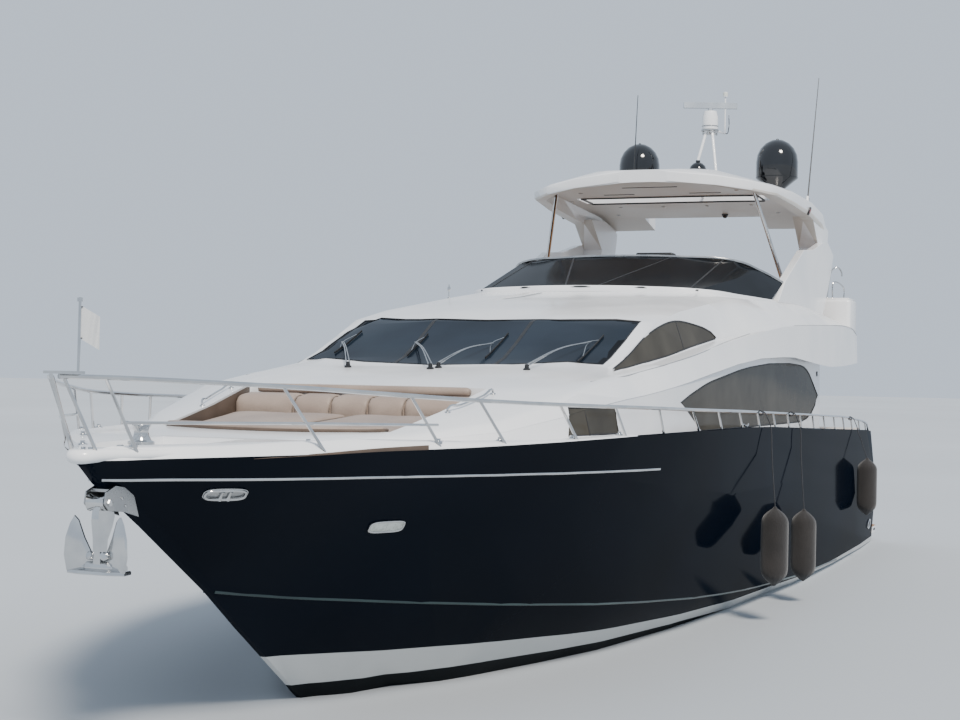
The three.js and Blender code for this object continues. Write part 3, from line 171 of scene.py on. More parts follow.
# The same gelcoat in the warm grey used for ceilings, left matt from the mould
finish("headliner_gelcoat", ("#cbc7c0", "#d6d2cb"), 0.42, 0.9, 0.004, 0.0002, IOR=1.5)
# Non-slip gelcoat: small moulded diamonds and grit underfoot, matt and a shade darker
finish("deck_gelcoat", ("#dcdee0", "#e6e7e8"), 0.55, 0.8, 0.006, 0.0006, IOR=1.5)
# 316 stainless steel, bent as tube and polished by hand: mirror-like, slightly streaked
finish("polished_stainless", ("#c4c5c6", "#d6d6d5"), 0.13, 0.25, 0.01, 0.00005, Metallic=1.0)
# Cast stainless with a brushed face, for plates and anchor flukes
finish("brushed_stainless", ("#a9aaab", "#bfbfbe"), 0.28, 0.2, 0.003, 0.0001, Metallic=1.0)
# Toughened glass under a bronze film: a grey-brown gloss by day
finish("filmed_glass", ("#3b3832", "#48453e"), 0.04, 0.7, 0.8, 0.0006, IOR=1.5,
       Specular_IOR_Level=0.0, Coat_Weight=0.3, Coat_Roughness=0.12)
# Laminated windscreen glass, blue-grey, with the dark wheelhouse behind it
finish("windscreen_glass", ("#141c26", "#1e2833"), 0.04, 1.2, 1.5, 0.0004, IOR=1.5,
       Specular_IOR_Level=0.0, Coat_Weight=0.32, Coat_Roughness=0.12)
# Smoked acrylic of the low screen on the upper deck
finish("smoked_acrylic", ("#101317", "#171b20"), 0.05, 0.9, 1.0, 0.0005, IOR=1.49,
       Specular_IOR_Level=0.0, Coat_Weight=0.28, Coat_Roughness=0.12)
# Ceramic frit baked on round the windscreen: a dead black behind the gloss of the glass
finish("ceramic_frit", ("#090b0e", "#0e1116"), 0.05, 0.9, 1.2, 0.0003, IOR=1.5,
       Specular_IOR_Level=0.0, Coat_Weight=0.2, Coat_Roughness=0.12)
# EPDM rubber: gaskets, feet and fender cones, dull and a little dusty
finish("black_rubber", ("#141416", "#202022"), 0.6, 0.12, 0.004, 0.0003, IOR=1.5)
# Glass-filled nylon fittings with a fine spark-eroded grain
finish("black_nylon", ("#101113", "#191a1c"), 0.4, 0.1, 0.0025, 0.0002, IOR=1.53)
# The aerial domes: black gelcoat polished like a car
finish("black_gelcoat", ("#0b0c0f", "#121418"), 0.1, 0.5, 0.2, 0.0003, IOR=1.5,
       Coat_Weight=0.5, Coat_Roughness=0.03)
# Moulded ABS of the radar and lamp housings, off-white
finish("white_abs", ("#d9dadb", "#e4e5e6"), 0.35, 0.3, 0.003, 0.0001, IOR=1.54)
# The same for the radar scanner, in a cool grey that is painted shade, the shade it stands in
finish("grey_abs", ("#a3abb4", "#b0b8c0"), 0.35, 0.3, 0.003, 0.0001, IOR=1.54)
# Polysulphide sealant in the joints between mouldings, grey; the same grey is painted shade in shadow lines
# along joints and grooves
finish("sealant_and_shadow_grey", ("#858a90", "#94999e"), 0.5, 0.2, 0.004, 0.0002, IOR=1.45)
# Frosted polycarbonate lenses, lit softly by the day
finish("frosted_lens", ("#c9cdc4", "#dfe2da"), 0.3, 0.05, 0.004, 0.0006, IOR=1.58)
# Nickel aluminium bronze, cast and faired by grinding
finish("cast_bronze", ("#8a6a3c", "#a98450"), 0.34, 0.12, 0.02, 0.0006, Metallic=1.0)
# Engine enamel, sprayed on sand-cast iron
finish("engine_enamel", ("#c9cdd0", "#dadddf"), 0.35, 0.2, 0.006, 0.0004, IOR=1.5)
# Brown PVC foam edging along the well, with a leather grain; the same brown is painted shade on the front
# face of the sunpad
finish("brown_trim_and_painted_shade", ("#4f4238", "#5d4e43"), 0.5, 0.25, 0.006, 0.0005, IOR=1.5)
# Piping in the seams of the pads: vinyl over cord, a shade darker than the pads
finish("vinyl_piping", ("#75675c", "#837468"), 0.5, 0.25, 0.004, 0.0003, IOR=1.5)
# The knuckle line: the same polyurethane as the topsides, in a grey green that is a painted reflection of
# the light its lower face mirrors
finish("knuckle_painted_reflection", ("#2c3b3d", "#374849"), 0.2, 0.8, 0.2, 0.0003, IOR=1.4)
# Walnut veneer under satin lacquer, on the table top and helm wheel
finish("satin_walnut", ("#4a2f1d", "#6a452b"), 0.3, 0.06, 0.02, 0.0002, IOR=1.5, Coat_Weight=0.4)
print(len(FINISHES), "even finishes")

# %% [markdown]
# The topsides are two-pack polyurethane over fairing filler, sprayed and flatted until they
# mirror like glass. The colours run in bands along the hull: navy, a pale boot stripe and
# black antifouling below. The bands could be separate faces, but their edges are curves
# that no row of faces follows, so two ramps read the height of each edge along the boat
# and a comparison with the height of the point picks the paint.

# %% Hull paint
STRIPE_TOP = ((-11.5, 0.11), (-1.04, 0.142), (0.88, 0.16), (3.07, 0.223), (5.02, 0.298), (6.9, 0.394),
              (8.32, 0.451), (9.45, 0.505), (12.0, 0.62))
STRIPE_FOOT = ((-11.5, -0.12), (-1.04, -0.03), (0.47, 0.013), (2.22, 0.074), (4.74, 0.119), (6.64, 0.155),
               (8.06, 0.157), (8.84, 0.157), (12.0, 0.16))
HULL_FROM, HULL_TO, LOWEST = -12.5, 12.5, -0.5


def edge_height(tree, along, rows):
    """The height of a painted edge at each point, read from a ramp along the boat."""
    ends = sorted(rows)
    stops = [((x - HULL_FROM) / (HULL_TO - HULL_FROM), z - LOWEST) for x, z in ends]
    read = add(tree, "ValToRGB", {"Fac": along}, stops=stops).outputs["Color"]
    return add(tree, "Math", {0: read, 1: LOWEST}, operation="ADD").outputs[0]


hull_paint, tree, shader, place = blank("polyurethane_topsides")
axes = add(tree, "SeparateXYZ", {"Vector": place}).outputs
along = add(tree, "MapRange", {"Value": axes["X"], "From Min": HULL_FROM,
                               "From Max": HULL_TO}).outputs["Result"]
over_stripe = add(tree, "Math", {0: axes["Z"], 1: edge_height(tree, along, STRIPE_TOP)},
                  operation="GREATER_THAN").outputs[0]
over_foot = add(tree, "Math", {0: axes["Z"], 1: edge_height(tree, along, STRIPE_FOOT)},
                operation="GREATER_THAN").outputs[0]
drift = add(tree, "TexNoise", {"Vector": place, "Scale": 0.35, "Detail": 2.0}).outputs["Fac"]
navy = add(tree, "ValToRGB", {"Fac": drift}, stops=((0.3, "#060c15"), (0.7, "#0a121d"))).outputs["Color"]
below = add(tree, "Mix", {0: over_foot, 6: "#15191c", 7: "#c5c8c8"}, data_type="RGBA").outputs[2]
colours = add(tree, "Mix", {0: over_stripe, 6: below, 7: navy}, data_type="RGBA").outputs[2]
matt = add(tree, "MapRange", {"Value": over_foot, "To Min": 0.6, "To Max": 0.09}).outputs["Result"]
swell = add(tree, "TexNoise", {"Vector": place, "Scale": 1.1, "Detail": 1.0}).outputs["Fac"]
faired = add(tree, "Bump", {"Height": swell, "Distance": 0.004, "Strength": 0.4}).outputs["Normal"]
tree.links.new(colours, shader.inputs["Base Color"])
tree.links.new(matt, shader.inputs["Roughness"])
tree.links.new(faired, shader.inputs["Normal"])
set_sockets(shader, Specular_IOR_Level=0.0, Coat_Weight=0.13, Coat_Roughness=0.06)
FINISHES["polyurethane_topsides"] = hull_paint
print("hull paint:", len(tree.nodes), "nodes")

# %% [markdown]
# Teak decks are planks 45 mm wide, laid fore and aft, with 5 mm seams of black sealant. A
# brick texture could draw them, but planks this long need no butts: a sawtooth across the
# boat gives each plank, its number shifts the grain, and a noise stretched along the
# boat is the grain. The seam is drawn 7 mm wide, so that it still shows from afar.

# %% Teak
PLANK, SEAM = 0.045, 0.007
teak, tree, shader, place = blank("oiled_teak")
axes = add(tree, "SeparateXYZ", {"Vector": place}).outputs
row = add(tree, "Math", {0: axes["Y"], 1: PLANK}, operation="DIVIDE").outputs[0]
number = add(tree, "Math", {0: row}, operation="FLOOR").outputs[0]
across = add(tree, "Math", {0: row}, operation="FRACT").outputs[0]
is_seam = add(tree, "Math", {0: across, 1: SEAM / PLANK}, operation="LESS_THAN").outputs[0]
shifted = add(tree, "CombineXYZ", {"X": axes["X"], "Y": number, "Z": axes["Y"]}).outputs[0]
stretched = add(tree, "Mapping", {"Vector": shifted, "Scale": (1.2, 3.7, 60.0)}).outputs[0]
grain = add(tree, "TexNoise", {"Vector": stretched, "Scale": 1.5, "Detail": 4.0}).outputs["Fac"]
wood = add(tree, "ValToRGB", {"Fac": grain},
           stops=((0.3, "#8a5f3c"), (0.7, "#b98a5c"), (0.52, "#a67a50"))).outputs["Color"]
planked = add(tree, "Mix", {0: is_seam, 6: wood, 7: "#161413"}, data_type="RGBA").outputs[2]
groove = add(tree, "Math", {0: grain, 1: is_seam}, operation="SUBTRACT").outputs[0]
relief = add(tree, "Bump", {"Height": groove, "Distance": 0.001, "Strength": 0.5}).outputs["Normal"]
tree.links.new(planked, shader.inputs["Base Color"])
tree.links.new(relief, shader.inputs["Normal"])
set_sockets(shader, Roughness=0.55, IOR=1.45)
FINISHES["oiled_teak"] = teak
print("teak:", len(tree.nodes), "nodes")

# %% [markdown]
# Outdoor upholstery is vinyl with a leather grain of 2 mm, drawn 6 mm wide here, and a
# slightly faded surface: taupe on the foredeck, cream elsewhere. Fender covers are knitted
# in rows of loops 6 mm wide, drawn 14 mm wide so the knit still reads. Rope is a braid of
# 9 mm strands. All get a little sheen, because their outermost fibres or pores catch the
# light at a low angle.

# %% Vinyl, knit and rope
def grained(name, shades, grain, height, stretch, **sockets):
    """Cells of a size as the grain of a hide or the loops of a knit on a two-tone base, with painted shade
    in their hollows.
    """
    material, tree, shader, place = blank(name)
    fade = add(tree, "TexNoise", {"Vector": place, "Scale": 1.6, "Detail": 4.0}).outputs["Fac"]
    stops = ((0.35, shades[0]), (0.65, shades[1]))
    tint = add(tree, "ValToRGB", {"Fac": fade}, stops=stops).outputs["Color"]
    pulled = add(tree, "Mapping", {"Vector": place, "Scale": stretch}).outputs[0]
    cells = add(tree, "TexVoronoi", {"Vector": pulled, "Scale": 1 / grain},
                feature="F1").outputs["Distance"]
    # Painted shade and highlight: the colour is darkened in the hollows of the grain and lightened a little
    # on its crowns
    shaded = add(tree, "MapRange", {"Value": cells, "To Min": 1.06, "To Max": 0.72}).outputs["Result"]
    grain_shade_colour = add(tree, "Mix", {0: 1.0, 6: tint, 7: shaded}, data_type="RGBA",
               blend_type="MULTIPLY").outputs[2]
    relief = add(tree, "Bump", {"Height": cells, "Distance": height, "Strength": 0.6}, invert=True)
    tree.links.new(grain_shade_colour, shader.inputs["Base Color"])
    tree.links.new(relief.outputs["Normal"], shader.inputs["Normal"])
    set_sockets(shader, **sockets)
    FINISHES[name] = material


EVEN = (1, 1, 1)
# Vinyl on foam, calendered with a grain: soft light, faint sheen
grained("taupe_vinyl", ("#97867a", "#a8978a"), 0.006, 0.0005, EVEN, Roughness=0.55, IOR=1.5,
        Sheen_Weight=0.15, Sheen_Roughness=0.4)
grained("cream_vinyl", ("#cfc6b8", "#ddd5c8"), 0.006, 0.0005, EVEN, Roughness=0.5, IOR=1.5,
        Sheen_Weight=0.15, Sheen_Roughness=0.4)
# Acrylic yarn, knitted: deep, matt and soft at its edges
grained("knitted_cover", ("#232121", "#302d2c"), 0.014, 0.004, (1, 1, 0.55), Roughness=0.9, IOR=1.45,
        Sheen_Weight=0.3, Sheen_Roughness=0.5)
# Polyester, braided: dark with paler crowns
grained("braided_rope", ("#23252a", "#34363b"), 0.009, 0.002, (1, 1, 0.6), Roughness=0.85, IOR=1.5,
        Sheen_Weight=0.2)
# Spun polyester of a flag: a fine weave that scatters the light
grained("pennant_cloth", ("#d5d7d8", "#e3e4e4"), 0.002, 0.0002, EVEN, Roughness=0.85, IOR=1.45,
        Sheen_Weight=0.3)
print(len(FINISHES), "finishes so far")

# %% [markdown]
# The imported solids are loose flat triangles. The moulded forms of a yacht are smooth, so
# a welded copy takes each one's place: its doubles are merged, flat neighbours dissolved,
# only real corners stay sharp, and weighted normals keep the large faces calm. The hard
# corners also get a small round, because no gelcoat mould has a knife edge.

# %% Skins
WELD_ONE, WELD_SEVERAL = 0.0004, 0.0012
FLAT, CORNER, ROUNDED_CORNER = math.radians(1), math.radians(32), math.radians(50)


def settle(name, mesh, body, finishes, slot, corner=CORNER):
    """Makes a finished mesh a piece of the boat: its shading, its finishes and its body."""
    mesh.shade_smooth()
    mesh.set_sharp_from_angle(angle=corner)
    for each in finishes:
        mesh.materials.append(FINISHES[each])
    made = bpy.data.objects.new(name, mesh)
    bpy.context.scene.collection.objects.link(made)
    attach(made, body)
    return made


def welded(*names):
    """One bmesh of some CAD nodes, with their doubles merged and flat faces joined."""
    shape = bmesh.new()
    for each in names:
        shape.from_mesh(frame["nodes"][each].data)
    bmesh.ops.remove_doubles(shape, verts=shape.verts, dist=WELD_SEVERAL if len(names) > 1 else WELD_ONE)
    bmesh.ops.dissolve_limit(shape, angle_limit=FLAT, verts=shape.verts, edges=shape.edges)
    return shape


def turned_to_mesh(shape, name):
    """The mesh of a bmesh, which is freed."""
    mesh = bpy.data.meshes.new(name)
    shape.to_mesh(mesh)
    shape.free()
    return mesh


def skin(name, nodes, finishes, slot, rounding=0.0, corner=CORNER, shape=None):
    """A smooth copy that stands for CAD nodes, with rounded corners where asked."""
    shape = shape or welded(*nodes)
    second = SECOND.get(name)
    for face in shape.faces:
        face.material_index = int(second(face.normal, face.calc_center_median())) if second else 0
    mesh = turned_to_mesh(shape, name)
    made = settle(name, mesh, frame["nodes"][nodes[0]]["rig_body"], finishes, slot, corner)
    if rounding:
        edge = made.modifiers.new("rounding", "BEVEL")
        edge.width = rounding
        edge.segments = 2
        edge.limit_method = "ANGLE"
        edge.angle_limit = ROUNDED_CORNER
        edge.harden_normals = True
    calm = made.modifiers.new("calm", "WEIGHTED_NORMAL")
    calm.keep_sharp = True
    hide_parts(*nodes)
    return made


SIDES = (("port", 1), ("starboard", -1))
TREADS_FROM, TREADS_LOW, TREADS_HIGH, TRANSOM = -9.9, 0.3, 1.74, -11.0
CEILING, FLY_SOLE, TABLE_TOP, DECK_TOP = 5.9, 3.84, 4.49, 2.5
LEVEL, INWARD, BACKWARD = 0.9, 0.3, 0.7


def inside_finish(normal, middle):
    """Above the waterline the inner faces of the hull are white and the stairs are teak."""
    if normal.z > LEVEL and middle.x < TREADS_FROM and TREADS_LOW < middle.z < TREADS_HIGH:
        return 2
    looks_in = normal.y * middle.y < -INWARD * abs(middle.y) and middle.z > TREADS_LOW
    looks_back = normal.x < -BACKWARD and middle.x > TRANSOM and middle.z > TREADS_LOW
    return 1 if looks_in or looks_back else 0


# Which faces of a skin take its second finish
SECOND = {
    "roof": lambda normal, middle: normal.z < -0.4 and middle.z > CEILING,
    "upper_deck": lambda normal, middle: normal.z > LEVEL and abs(middle.z - FLY_SOLE) < 0.03,
    "bathing_platform": lambda normal, middle: normal.z > LEVEL,
    "dinette_table": lambda normal, middle: middle.z > TABLE_TOP,
    "side_decks": lambda normal, middle: normal.z > 0.97 and middle.z < DECK_TOP,
    "topsides": inside_finish,
}
SKINS = [
    # name, CAD nodes, finishes, slot, rounding
    ("topsides", ["hull", "bulwark_port", "bulwark_starboard"],
     ["polyurethane_topsides", "white_gelcoat", "oiled_teak"], "hull_paint", 0),
    ("deckhouse", ["superstructure"], ["white_gelcoat"], "gelcoat", 0.012),
    ("side_decks", ["foredeck"], ["white_gelcoat", "deck_gelcoat"], "gelcoat", 0.008),
    ("cockpit_teak", ["main_deck"], ["oiled_teak"], "teak", 0),
    ("upper_deck", ["flybridge"], ["white_gelcoat", "oiled_teak"], "gelcoat", 0.014),
    ("bathing_platform", ["swim_platform"], ["white_gelcoat", "oiled_teak"], "teak", 0.01),
    ("roof", ["hardtop"], ["white_gelcoat", "headliner_gelcoat"], "gelcoat", 0.02),
    ("garage_lid", ["garage_door"], ["polyurethane_topsides"], "hull_paint", 0.008),
    ("mast", ["radar_mast"], ["white_gelcoat"], "gelcoat", 0.004),
    ("scanner", ["radar_scanner"], ["grey_abs"], "gelcoat", 0.006),
    ("console", ["helm_console"], ["white_gelcoat"], "gelcoat", 0.02),
    ("dinette_table", ["flybridge_table"], ["white_gelcoat", "satin_walnut"], "gelcoat", 0.008),
    ("locker_lid", ["anchor_locker_lid"], ["white_gelcoat"], "gelcoat", 0.006),
    ("roller_cheeks", ["anchor_roller"], ["brushed_stainless"], "stainless", 0.004),
    ("flagstaff", ["jackstaff"], ["polished_stainless"], "stainless", 0),
    ("screen_pane", ["flybridge_screen"], ["smoked_acrylic"], "screen_glass", 0),
    ("front_screen", ["windscreen"], ["windscreen_glass"], "screen_glass", 0),
    ("fixed_door_leaf", ["saloon_door_fixed"], ["filmed_glass"], "side_glass", 0.002),
    ("sliding_door_leaf", ["saloon_door_sliding"], ["filmed_glass"], "side_glass", 0.002),
    ("steering_wheel", ["helm_wheel"], ["polished_stainless"], "stainless", 0),
] + [row for side, _ in SIDES for row in [
    (f"arch_pane_{side}", [f"arch_window_{side}"], ["filmed_glass"], "side_glass", 0),
    (f"saloon_pane_{side}", [f"saloon_window_{side}"], ["filmed_glass"], "side_glass", 0),
    (f"forward_pane_{side}", [f"forward_window_{side}"], ["filmed_glass"], "side_glass", 0),
    (f"roof_leg_{side}", [f"arch_fin_{side}"], ["white_gelcoat"], "gelcoat", 0.012),
    (f"roof_pole_{side}", [f"hardtop_pole_{side}"], ["polished_stainless"], "stainless", 0),
    (f"aerial_dome_{side}", [f"dome_{side}"], ["black_gelcoat"], "black_gloss", 0),
    (f"whip_{side}", [f"whip_aerial_{side}"], ["black_nylon"], "aerial", 0),
    (f"pulpit_{side}", [f"bow_rail_{side}"], ["polished_stainless"], "stainless", 0),
    (f"side_rail_{side}", [f"guard_rail_{side}"], ["polished_stainless"], "stainless", 0),
    (f"gate_{side}", [f"stern_gate_{side}"], ["white_gelcoat"], "gelcoat", 0.006),
    (f"diesel_{side}", [f"engine_{side}"], ["engine_enamel"], "engine_paint", 0.012),
    (f"shaft_line_{side}", [f"shaft_{side}"], ["brushed_stainless"], "stainless", 0),
    (f"screw_{side}", [f"propeller_{side}"], ["cast_bronze"], "bronze", 0),
    (f"rudder_blade_{side}", [f"rudder_{side}"], ["cast_bronze"], "bronze", 0),
]]
ROOF_RISE, ROOF_HALF, ROOF_EDGE, RISE_AFT, RISE_FADE = 0.12, 1.95, 6.1, -7.9, 0.9


def raised_roof():
    """The roof with the fuller crown that the moulding has between its edges."""
    shape = welded("hardtop")
    bmesh.ops.triangulate(shape, faces=shape.faces)
    shape.normal_update()
    for vert in shape.verts:
        if vert.normal.z > 0.1 and vert.co.z > ROOF_EDGE:
            over_span = max(0, 1 - (vert.co.y / ROOF_HALF) ** 2)
            along = min(1, max(0, (vert.co.x - RISE_AFT) / RISE_FADE))
            vert.co.z += ROOF_RISE * over_span * along
    return shape


RESHAPED = {"roof": raised_roof()}
skins = {name: skin(name, *rest, shape=RESHAPED.get(name)) for name, *rest in SKINS}
print(len(skins), "skins,", sum(len(each.data.polygons) for each in skins.values()), "faces")

# %% [markdown]
# Fittings are built from a few shapes that a workshop knows too. A bar follows a path, a
# block is a cube with its edges rounded, a turned piece is a profile spun round an axis,
# and a plate is an outline pushed up to a thickness. Each function adds to a bmesh, so
# one fitting can be several shapes and still be one piece.

# %% Shapes for fittings
def bar(shape, points, radius, wide=0.0, closed=False, curved=True, facets=3, taper=None):
    """A round bar along a path, or a flat one that is wide across; taper scales each point."""
    path = bpy.data.curves.new("path", "CURVE")
    path.dimensions = "3D"
    path.bevel_depth = radius
    path.bevel_resolution = facets
    path.extrude = wide / 2
    path.use_fill_caps = True
    path.resolution_u = 5
    path.twist_mode = "Z_UP"
    spline = path.splines.new("BEZIER")
    spline.bezier_points.add(len(points) - 1)
    for place, (knot, point) in enumerate(zip(spline.bezier_points, points)):
        knot.co = point
        knot.radius = taper[place] if taper else 1
        knot.handle_left_type = knot.handle_right_type = "AUTO" if curved else "VECTOR"
    spline.use_cyclic_u = closed
    holder = bpy.data.objects.new("path", path)
    mesh = bpy.data.meshes.new_from_object(holder)
    shape.from_mesh(mesh)
    bpy.data.objects.remove(holder)
    bpy.data.curves.remove(path)
    bpy.data.meshes.remove(mesh)


def block(shape, low, high, rounding=0.0, turn=None, segments=2):
    """A box between two corners with rounded edges, turned about its middle."""
    middle = (Vector(low) + Vector(high)) / 2
    size = Vector(high) - Vector(low)
    made = bmesh.ops.create_cube(shape, size=1)["verts"]
    bmesh.ops.scale(shape, vec=size, verts=made)
    edges = list({edge for vert in made for edge in vert.link_edges})
    faces = [face for face in shape.faces if all(vert in made for vert in face.verts)]
    if rounding:
        cut = bmesh.ops.bevel(shape, geom=edges, offset=rounding, segments=segments, profile=0.5,
                              affect="EDGES", material=-1, clamp_overlap=True)
        faces = list({face for vert in cut["verts"] + made if vert.is_valid for face in vert.link_faces})
    verts = list({vert for face in faces if face.is_valid for vert in face.verts})
    if turn:
        bmesh.ops.rotate(shape, cent=(0, 0, 0), matrix=turn, verts=verts)
    bmesh.ops.translate(shape, vec=middle, verts=verts)
    return verts


def turned(shape, profile, at, axis=(0, 0, 1), steps=24):
    """A profile of (radius, height) pairs spun round an axis through a point."""
    made = [shape.verts.new((radius, 0, height)) for radius, height in profile]
    edges = [shape.edges.new(pair) for pair in zip(made, made[1:])]
    bmesh.ops.spin(shape, geom=made + edges, cent=(0, 0, 0), axis=(0, 0, 1), angle=math.tau,
                   steps=steps, use_merge=True, use_duplicate=False)
    region = set(made)
    grow = list(made)
    while grow:
        reached = {edge.other_vert(vert) for vert in grow for edge in vert.link_edges} - region
        region |= reached
        grow = list(reached)
    verts = list(region)
    to_axis = Vector((0, 0, 1)).rotation_difference(Vector(axis)).to_matrix()
    bmesh.ops.rotate(shape, cent=(0, 0, 0), matrix=to_axis, verts=verts)
    bmesh.ops.translate(shape, vec=at, verts=verts)
    bmesh.ops.remove_doubles(shape, verts=verts, dist=0.00005)


def plate(shape, outline, thickness, turn=None, at=(0, 0, 0), rounding=0.0):
    """A flat outline of (x, y) pairs pushed up to a thickness, then turned and placed."""
    made = [shape.verts.new((u, v, 0)) for u, v in outline]
    face = shape.faces.new(made)
    raised = bmesh.ops.extrude_face_region(shape, geom=[face])["geom"]
    top = [part for part in raised if isinstance(part, bmesh.types.BMVert)]
    bmesh.ops.translate(shape, vec=(0, 0, thickness), verts=top)
    verts = made + top
    if rounding:
        rim = [edge for edge in shape.edges if edge.verts[0] in top and edge.verts[1] in top]
        cut = bmesh.ops.bevel(shape, geom=rim, offset=rounding, segments=2, profile=0.5, affect="EDGES",
                              material=-1, clamp_overlap=True)
        verts = list({vert for vert in made + top + cut["verts"] if vert.is_valid})
    if turn:
        bmesh.ops.rotate(shape, cent=(0, 0, 0), matrix=turn, verts=verts)
    bmesh.ops.translate(shape, vec=at, verts=verts)


def circle(count):
    """The cosines and sines of points spaced evenly round a circle."""
    return [(math.cos(math.tau * step / count), math.sin(math.tau * step / count)) for step in range(count)]


# The slots of the frame, each with the finishes that go there
SLOTS = {"stainless": ("polished_stainless", "brushed_stainless"), "bronze": ("cast_bronze",),
         "gelcoat": ("white_gelcoat", "frosted_lens", "red_lens", "green_lens"), "aerial": ("white_abs",),
         "hull_paint": ("knuckle_painted_reflection",), "black_gloss": ("black_gelcoat",),
         "screen_glass": ("smoked_acrylic",), "engine_paint": ("engine_enamel",),
         "fender_cloth": ("knitted_cover", "braided_rope"),
         "cushion": ("taupe_vinyl", "cream_vinyl", "pennant_cloth"),
         "dark_trim": ("black_rubber", "black_nylon", "ceramic_frit", "brown_trim_and_painted_shade", "vinyl_piping",
                       "sealant_and_shadow_grey")}
SLOT_OF = {finish_name: slot for slot, finish_names in SLOTS.items() for finish_name in finish_names}


def piece(name, shape, finish_name, slot=None, body="yacht", stands_for=(), corner=CORNER):
    """Closes a bmesh into a piece of the boat: normals outwards, a finish, a body."""
    bmesh.ops.remove_doubles(shape, verts=shape.verts, dist=0.00002)
    bmesh.ops.recalc_face_normals(shape, faces=shape.faces)
    made = settle(name, turned_to_mesh(shape, name), body, [finish_name], slot or SLOT_OF[finish_name],
                  corner)
    if stands_for:
        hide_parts(*stands_for)
    print(f"{name}: {len(made.data.polygons)} faces on {body}")
    return made


# %% [markdown]
# A fitting has to touch what carries it. The surfaces of the solids are kept as search
# trees, and a ray finds the point and the direction of the surface where a fitting goes.

# %% Surfaces
ABEAM, ALOFT = 6, 12


def tree_of(*names):
    """A search tree of some CAD nodes, welded together."""
    shape = welded(*names)
    found = BVHTree.FromBMesh(shape)
    shape.free()
    return found


HULL_TREE = tree_of("hull", "bulwark_port", "bulwark_starboard")
HOUSE_TREE = tree_of("superstructure", "foredeck")


def on_side(tree, x, z, side, lift=0.0):
    """The point of a surface seen from abeam, lifted off along its normal."""
    place, normal, _, _ = tree.ray_cast(Vector((x, ABEAM * side, z)), Vector((0, -side, 0)))
    return (place + normal * lift) if place else None


def on_top(tree, x, y, lift=0.0):
    """The point of a surface seen from above, lifted off along its normal."""
    place, normal, _, _ = tree.ray_cast(Vector((x, y, ALOFT)), Vector((0, 0, -1)))
    return (place + normal * lift) if place else None


print("amidships her side is", round(on_side(HULL_TREE, 0, 1.5, 1).y, 2), "m from the centreline")

# %% [markdown]
# The hull carries two lines. A polished rub rail runs from the stem over a quarter of her
# length, and along the moulded knuckle below it runs a grey-green painted reflection of the
# light its lower face mirrors. Each is a bar along points found on the hull, so it lies on
# her side wherever the flare takes it.

# %% Hull trim
RUB_RAIL = ((12.18, 2.275), (12.02, 2.27), (11.28, 2.26), (10.11, 2.25), (8.36, 2.23), (7.0, 2.21),
            (5.7, 2.19))
KNUCKLE = ((10.4, 1.215), (9.9, 1.14), (9.45, 1.078), (8.42, 0.96), (7.35, 0.849), (5.61, 0.683),
           (4.2, 0.56), (2.7, 0.442), (1.41, 0.355), (-0.5, 0.26), (-3.2, 0.17), (-6.5, 0.1))


def along_hull(rows, side, spacing, lift):
    """Points on the hull's side along a line of (x, z) pairs, a spacing apart."""
    points = []
    for (x0, z0), (x1, z1) in zip(rows, rows[1:]):
        steps = max(1, round(abs(x0 - x1) / spacing))
        for step in range(steps):
            share = step / steps
            points.append(on_side(HULL_TREE, x0 + (x1 - x0) * share, z0 + (z1 - z0) * share, side, lift))
    points.append(on_side(HULL_TREE, *rows[-1], side, lift))
    return [point for point in points if point]


rub_rails, knuckles = bmesh.new(), bmesh.new()
for _, side in SIDES:
    bar(rub_rails, along_hull(RUB_RAIL, side, 0.3, 0.004), 0.008, wide=0.01)
    bar(knuckles, along_hull(KNUCKLE, side, 0.4, 0.0), 0.008, wide=0.012)
piece("rub_rails", rub_rails, "polished_stainless")
piece("knuckle_line", knuckles, "knuckle_painted_reflection")

# %% [markdown]
# In each bow is a fairlead, an oval ring of polished steel round two upright rollers.
# Below it is a docking light behind a frosted lens in a rounded frame. Both are drawn flat,
# then laid against the flare of the hull by one matrix for each side.

# %% Fairleads and docking lights
def lay_on(centre, along_point, outward):
    """The matrix that lays a fitting drawn in the x-y plane on a surface: x goes to a point."""
    depth = Vector(outward).normalized()
    lengthwise = Vector(along_point) - Vector(centre)
    lengthwise = (lengthwise - depth * lengthwise.dot(depth)).normalized()
    crosswise = depth.cross(lengthwise)
    return Matrix.Translation(centre) @ Matrix((lengthwise, crosswise, depth)).transposed().to_4x4()


def oval(long_half, short_half, count=28, power=0.6):
    """A rounded oblong, as (x, y) pairs."""
    return [(long_half * math.copysign(abs(c) ** power, c), short_half * math.copysign(abs(s) ** power, s))
            for c, s in circle(count)]


def fitting(name, parts, finish_name):
    """Draws a fitting once for each side with parts(shape), laid on the hull by a matrix."""
    both = bmesh.new()
    for _, side in SIDES:
        one = bmesh.new()
        matrix = parts(one, side)
        bmesh.ops.transform(one, matrix=matrix, verts=one.verts)
        mesh = turned_to_mesh(one, "part")
        both.from_mesh(mesh)
        bpy.data.meshes.remove(mesh)
    return piece(name, both, finish_name)


def hull_matrix(spot, side):
    """Lays a fitting level on the hull's own slope, pointing along it towards the bow."""
    x, z = spot
    place, normal, _, _ = HULL_TREE.ray_cast(Vector((x, ABEAM * side, z)), Vector((0, -side, 0)))
    return lay_on(place, on_side(HULL_TREE, x + 0.15, z, side), normal)


FAIRLEAD, LAMP = (11.13, 2.13), (9.23, 1.755)
FAIRLEAD_HALF, LAMP_HALF = (0.175, 0.058), (0.19, 0.062)


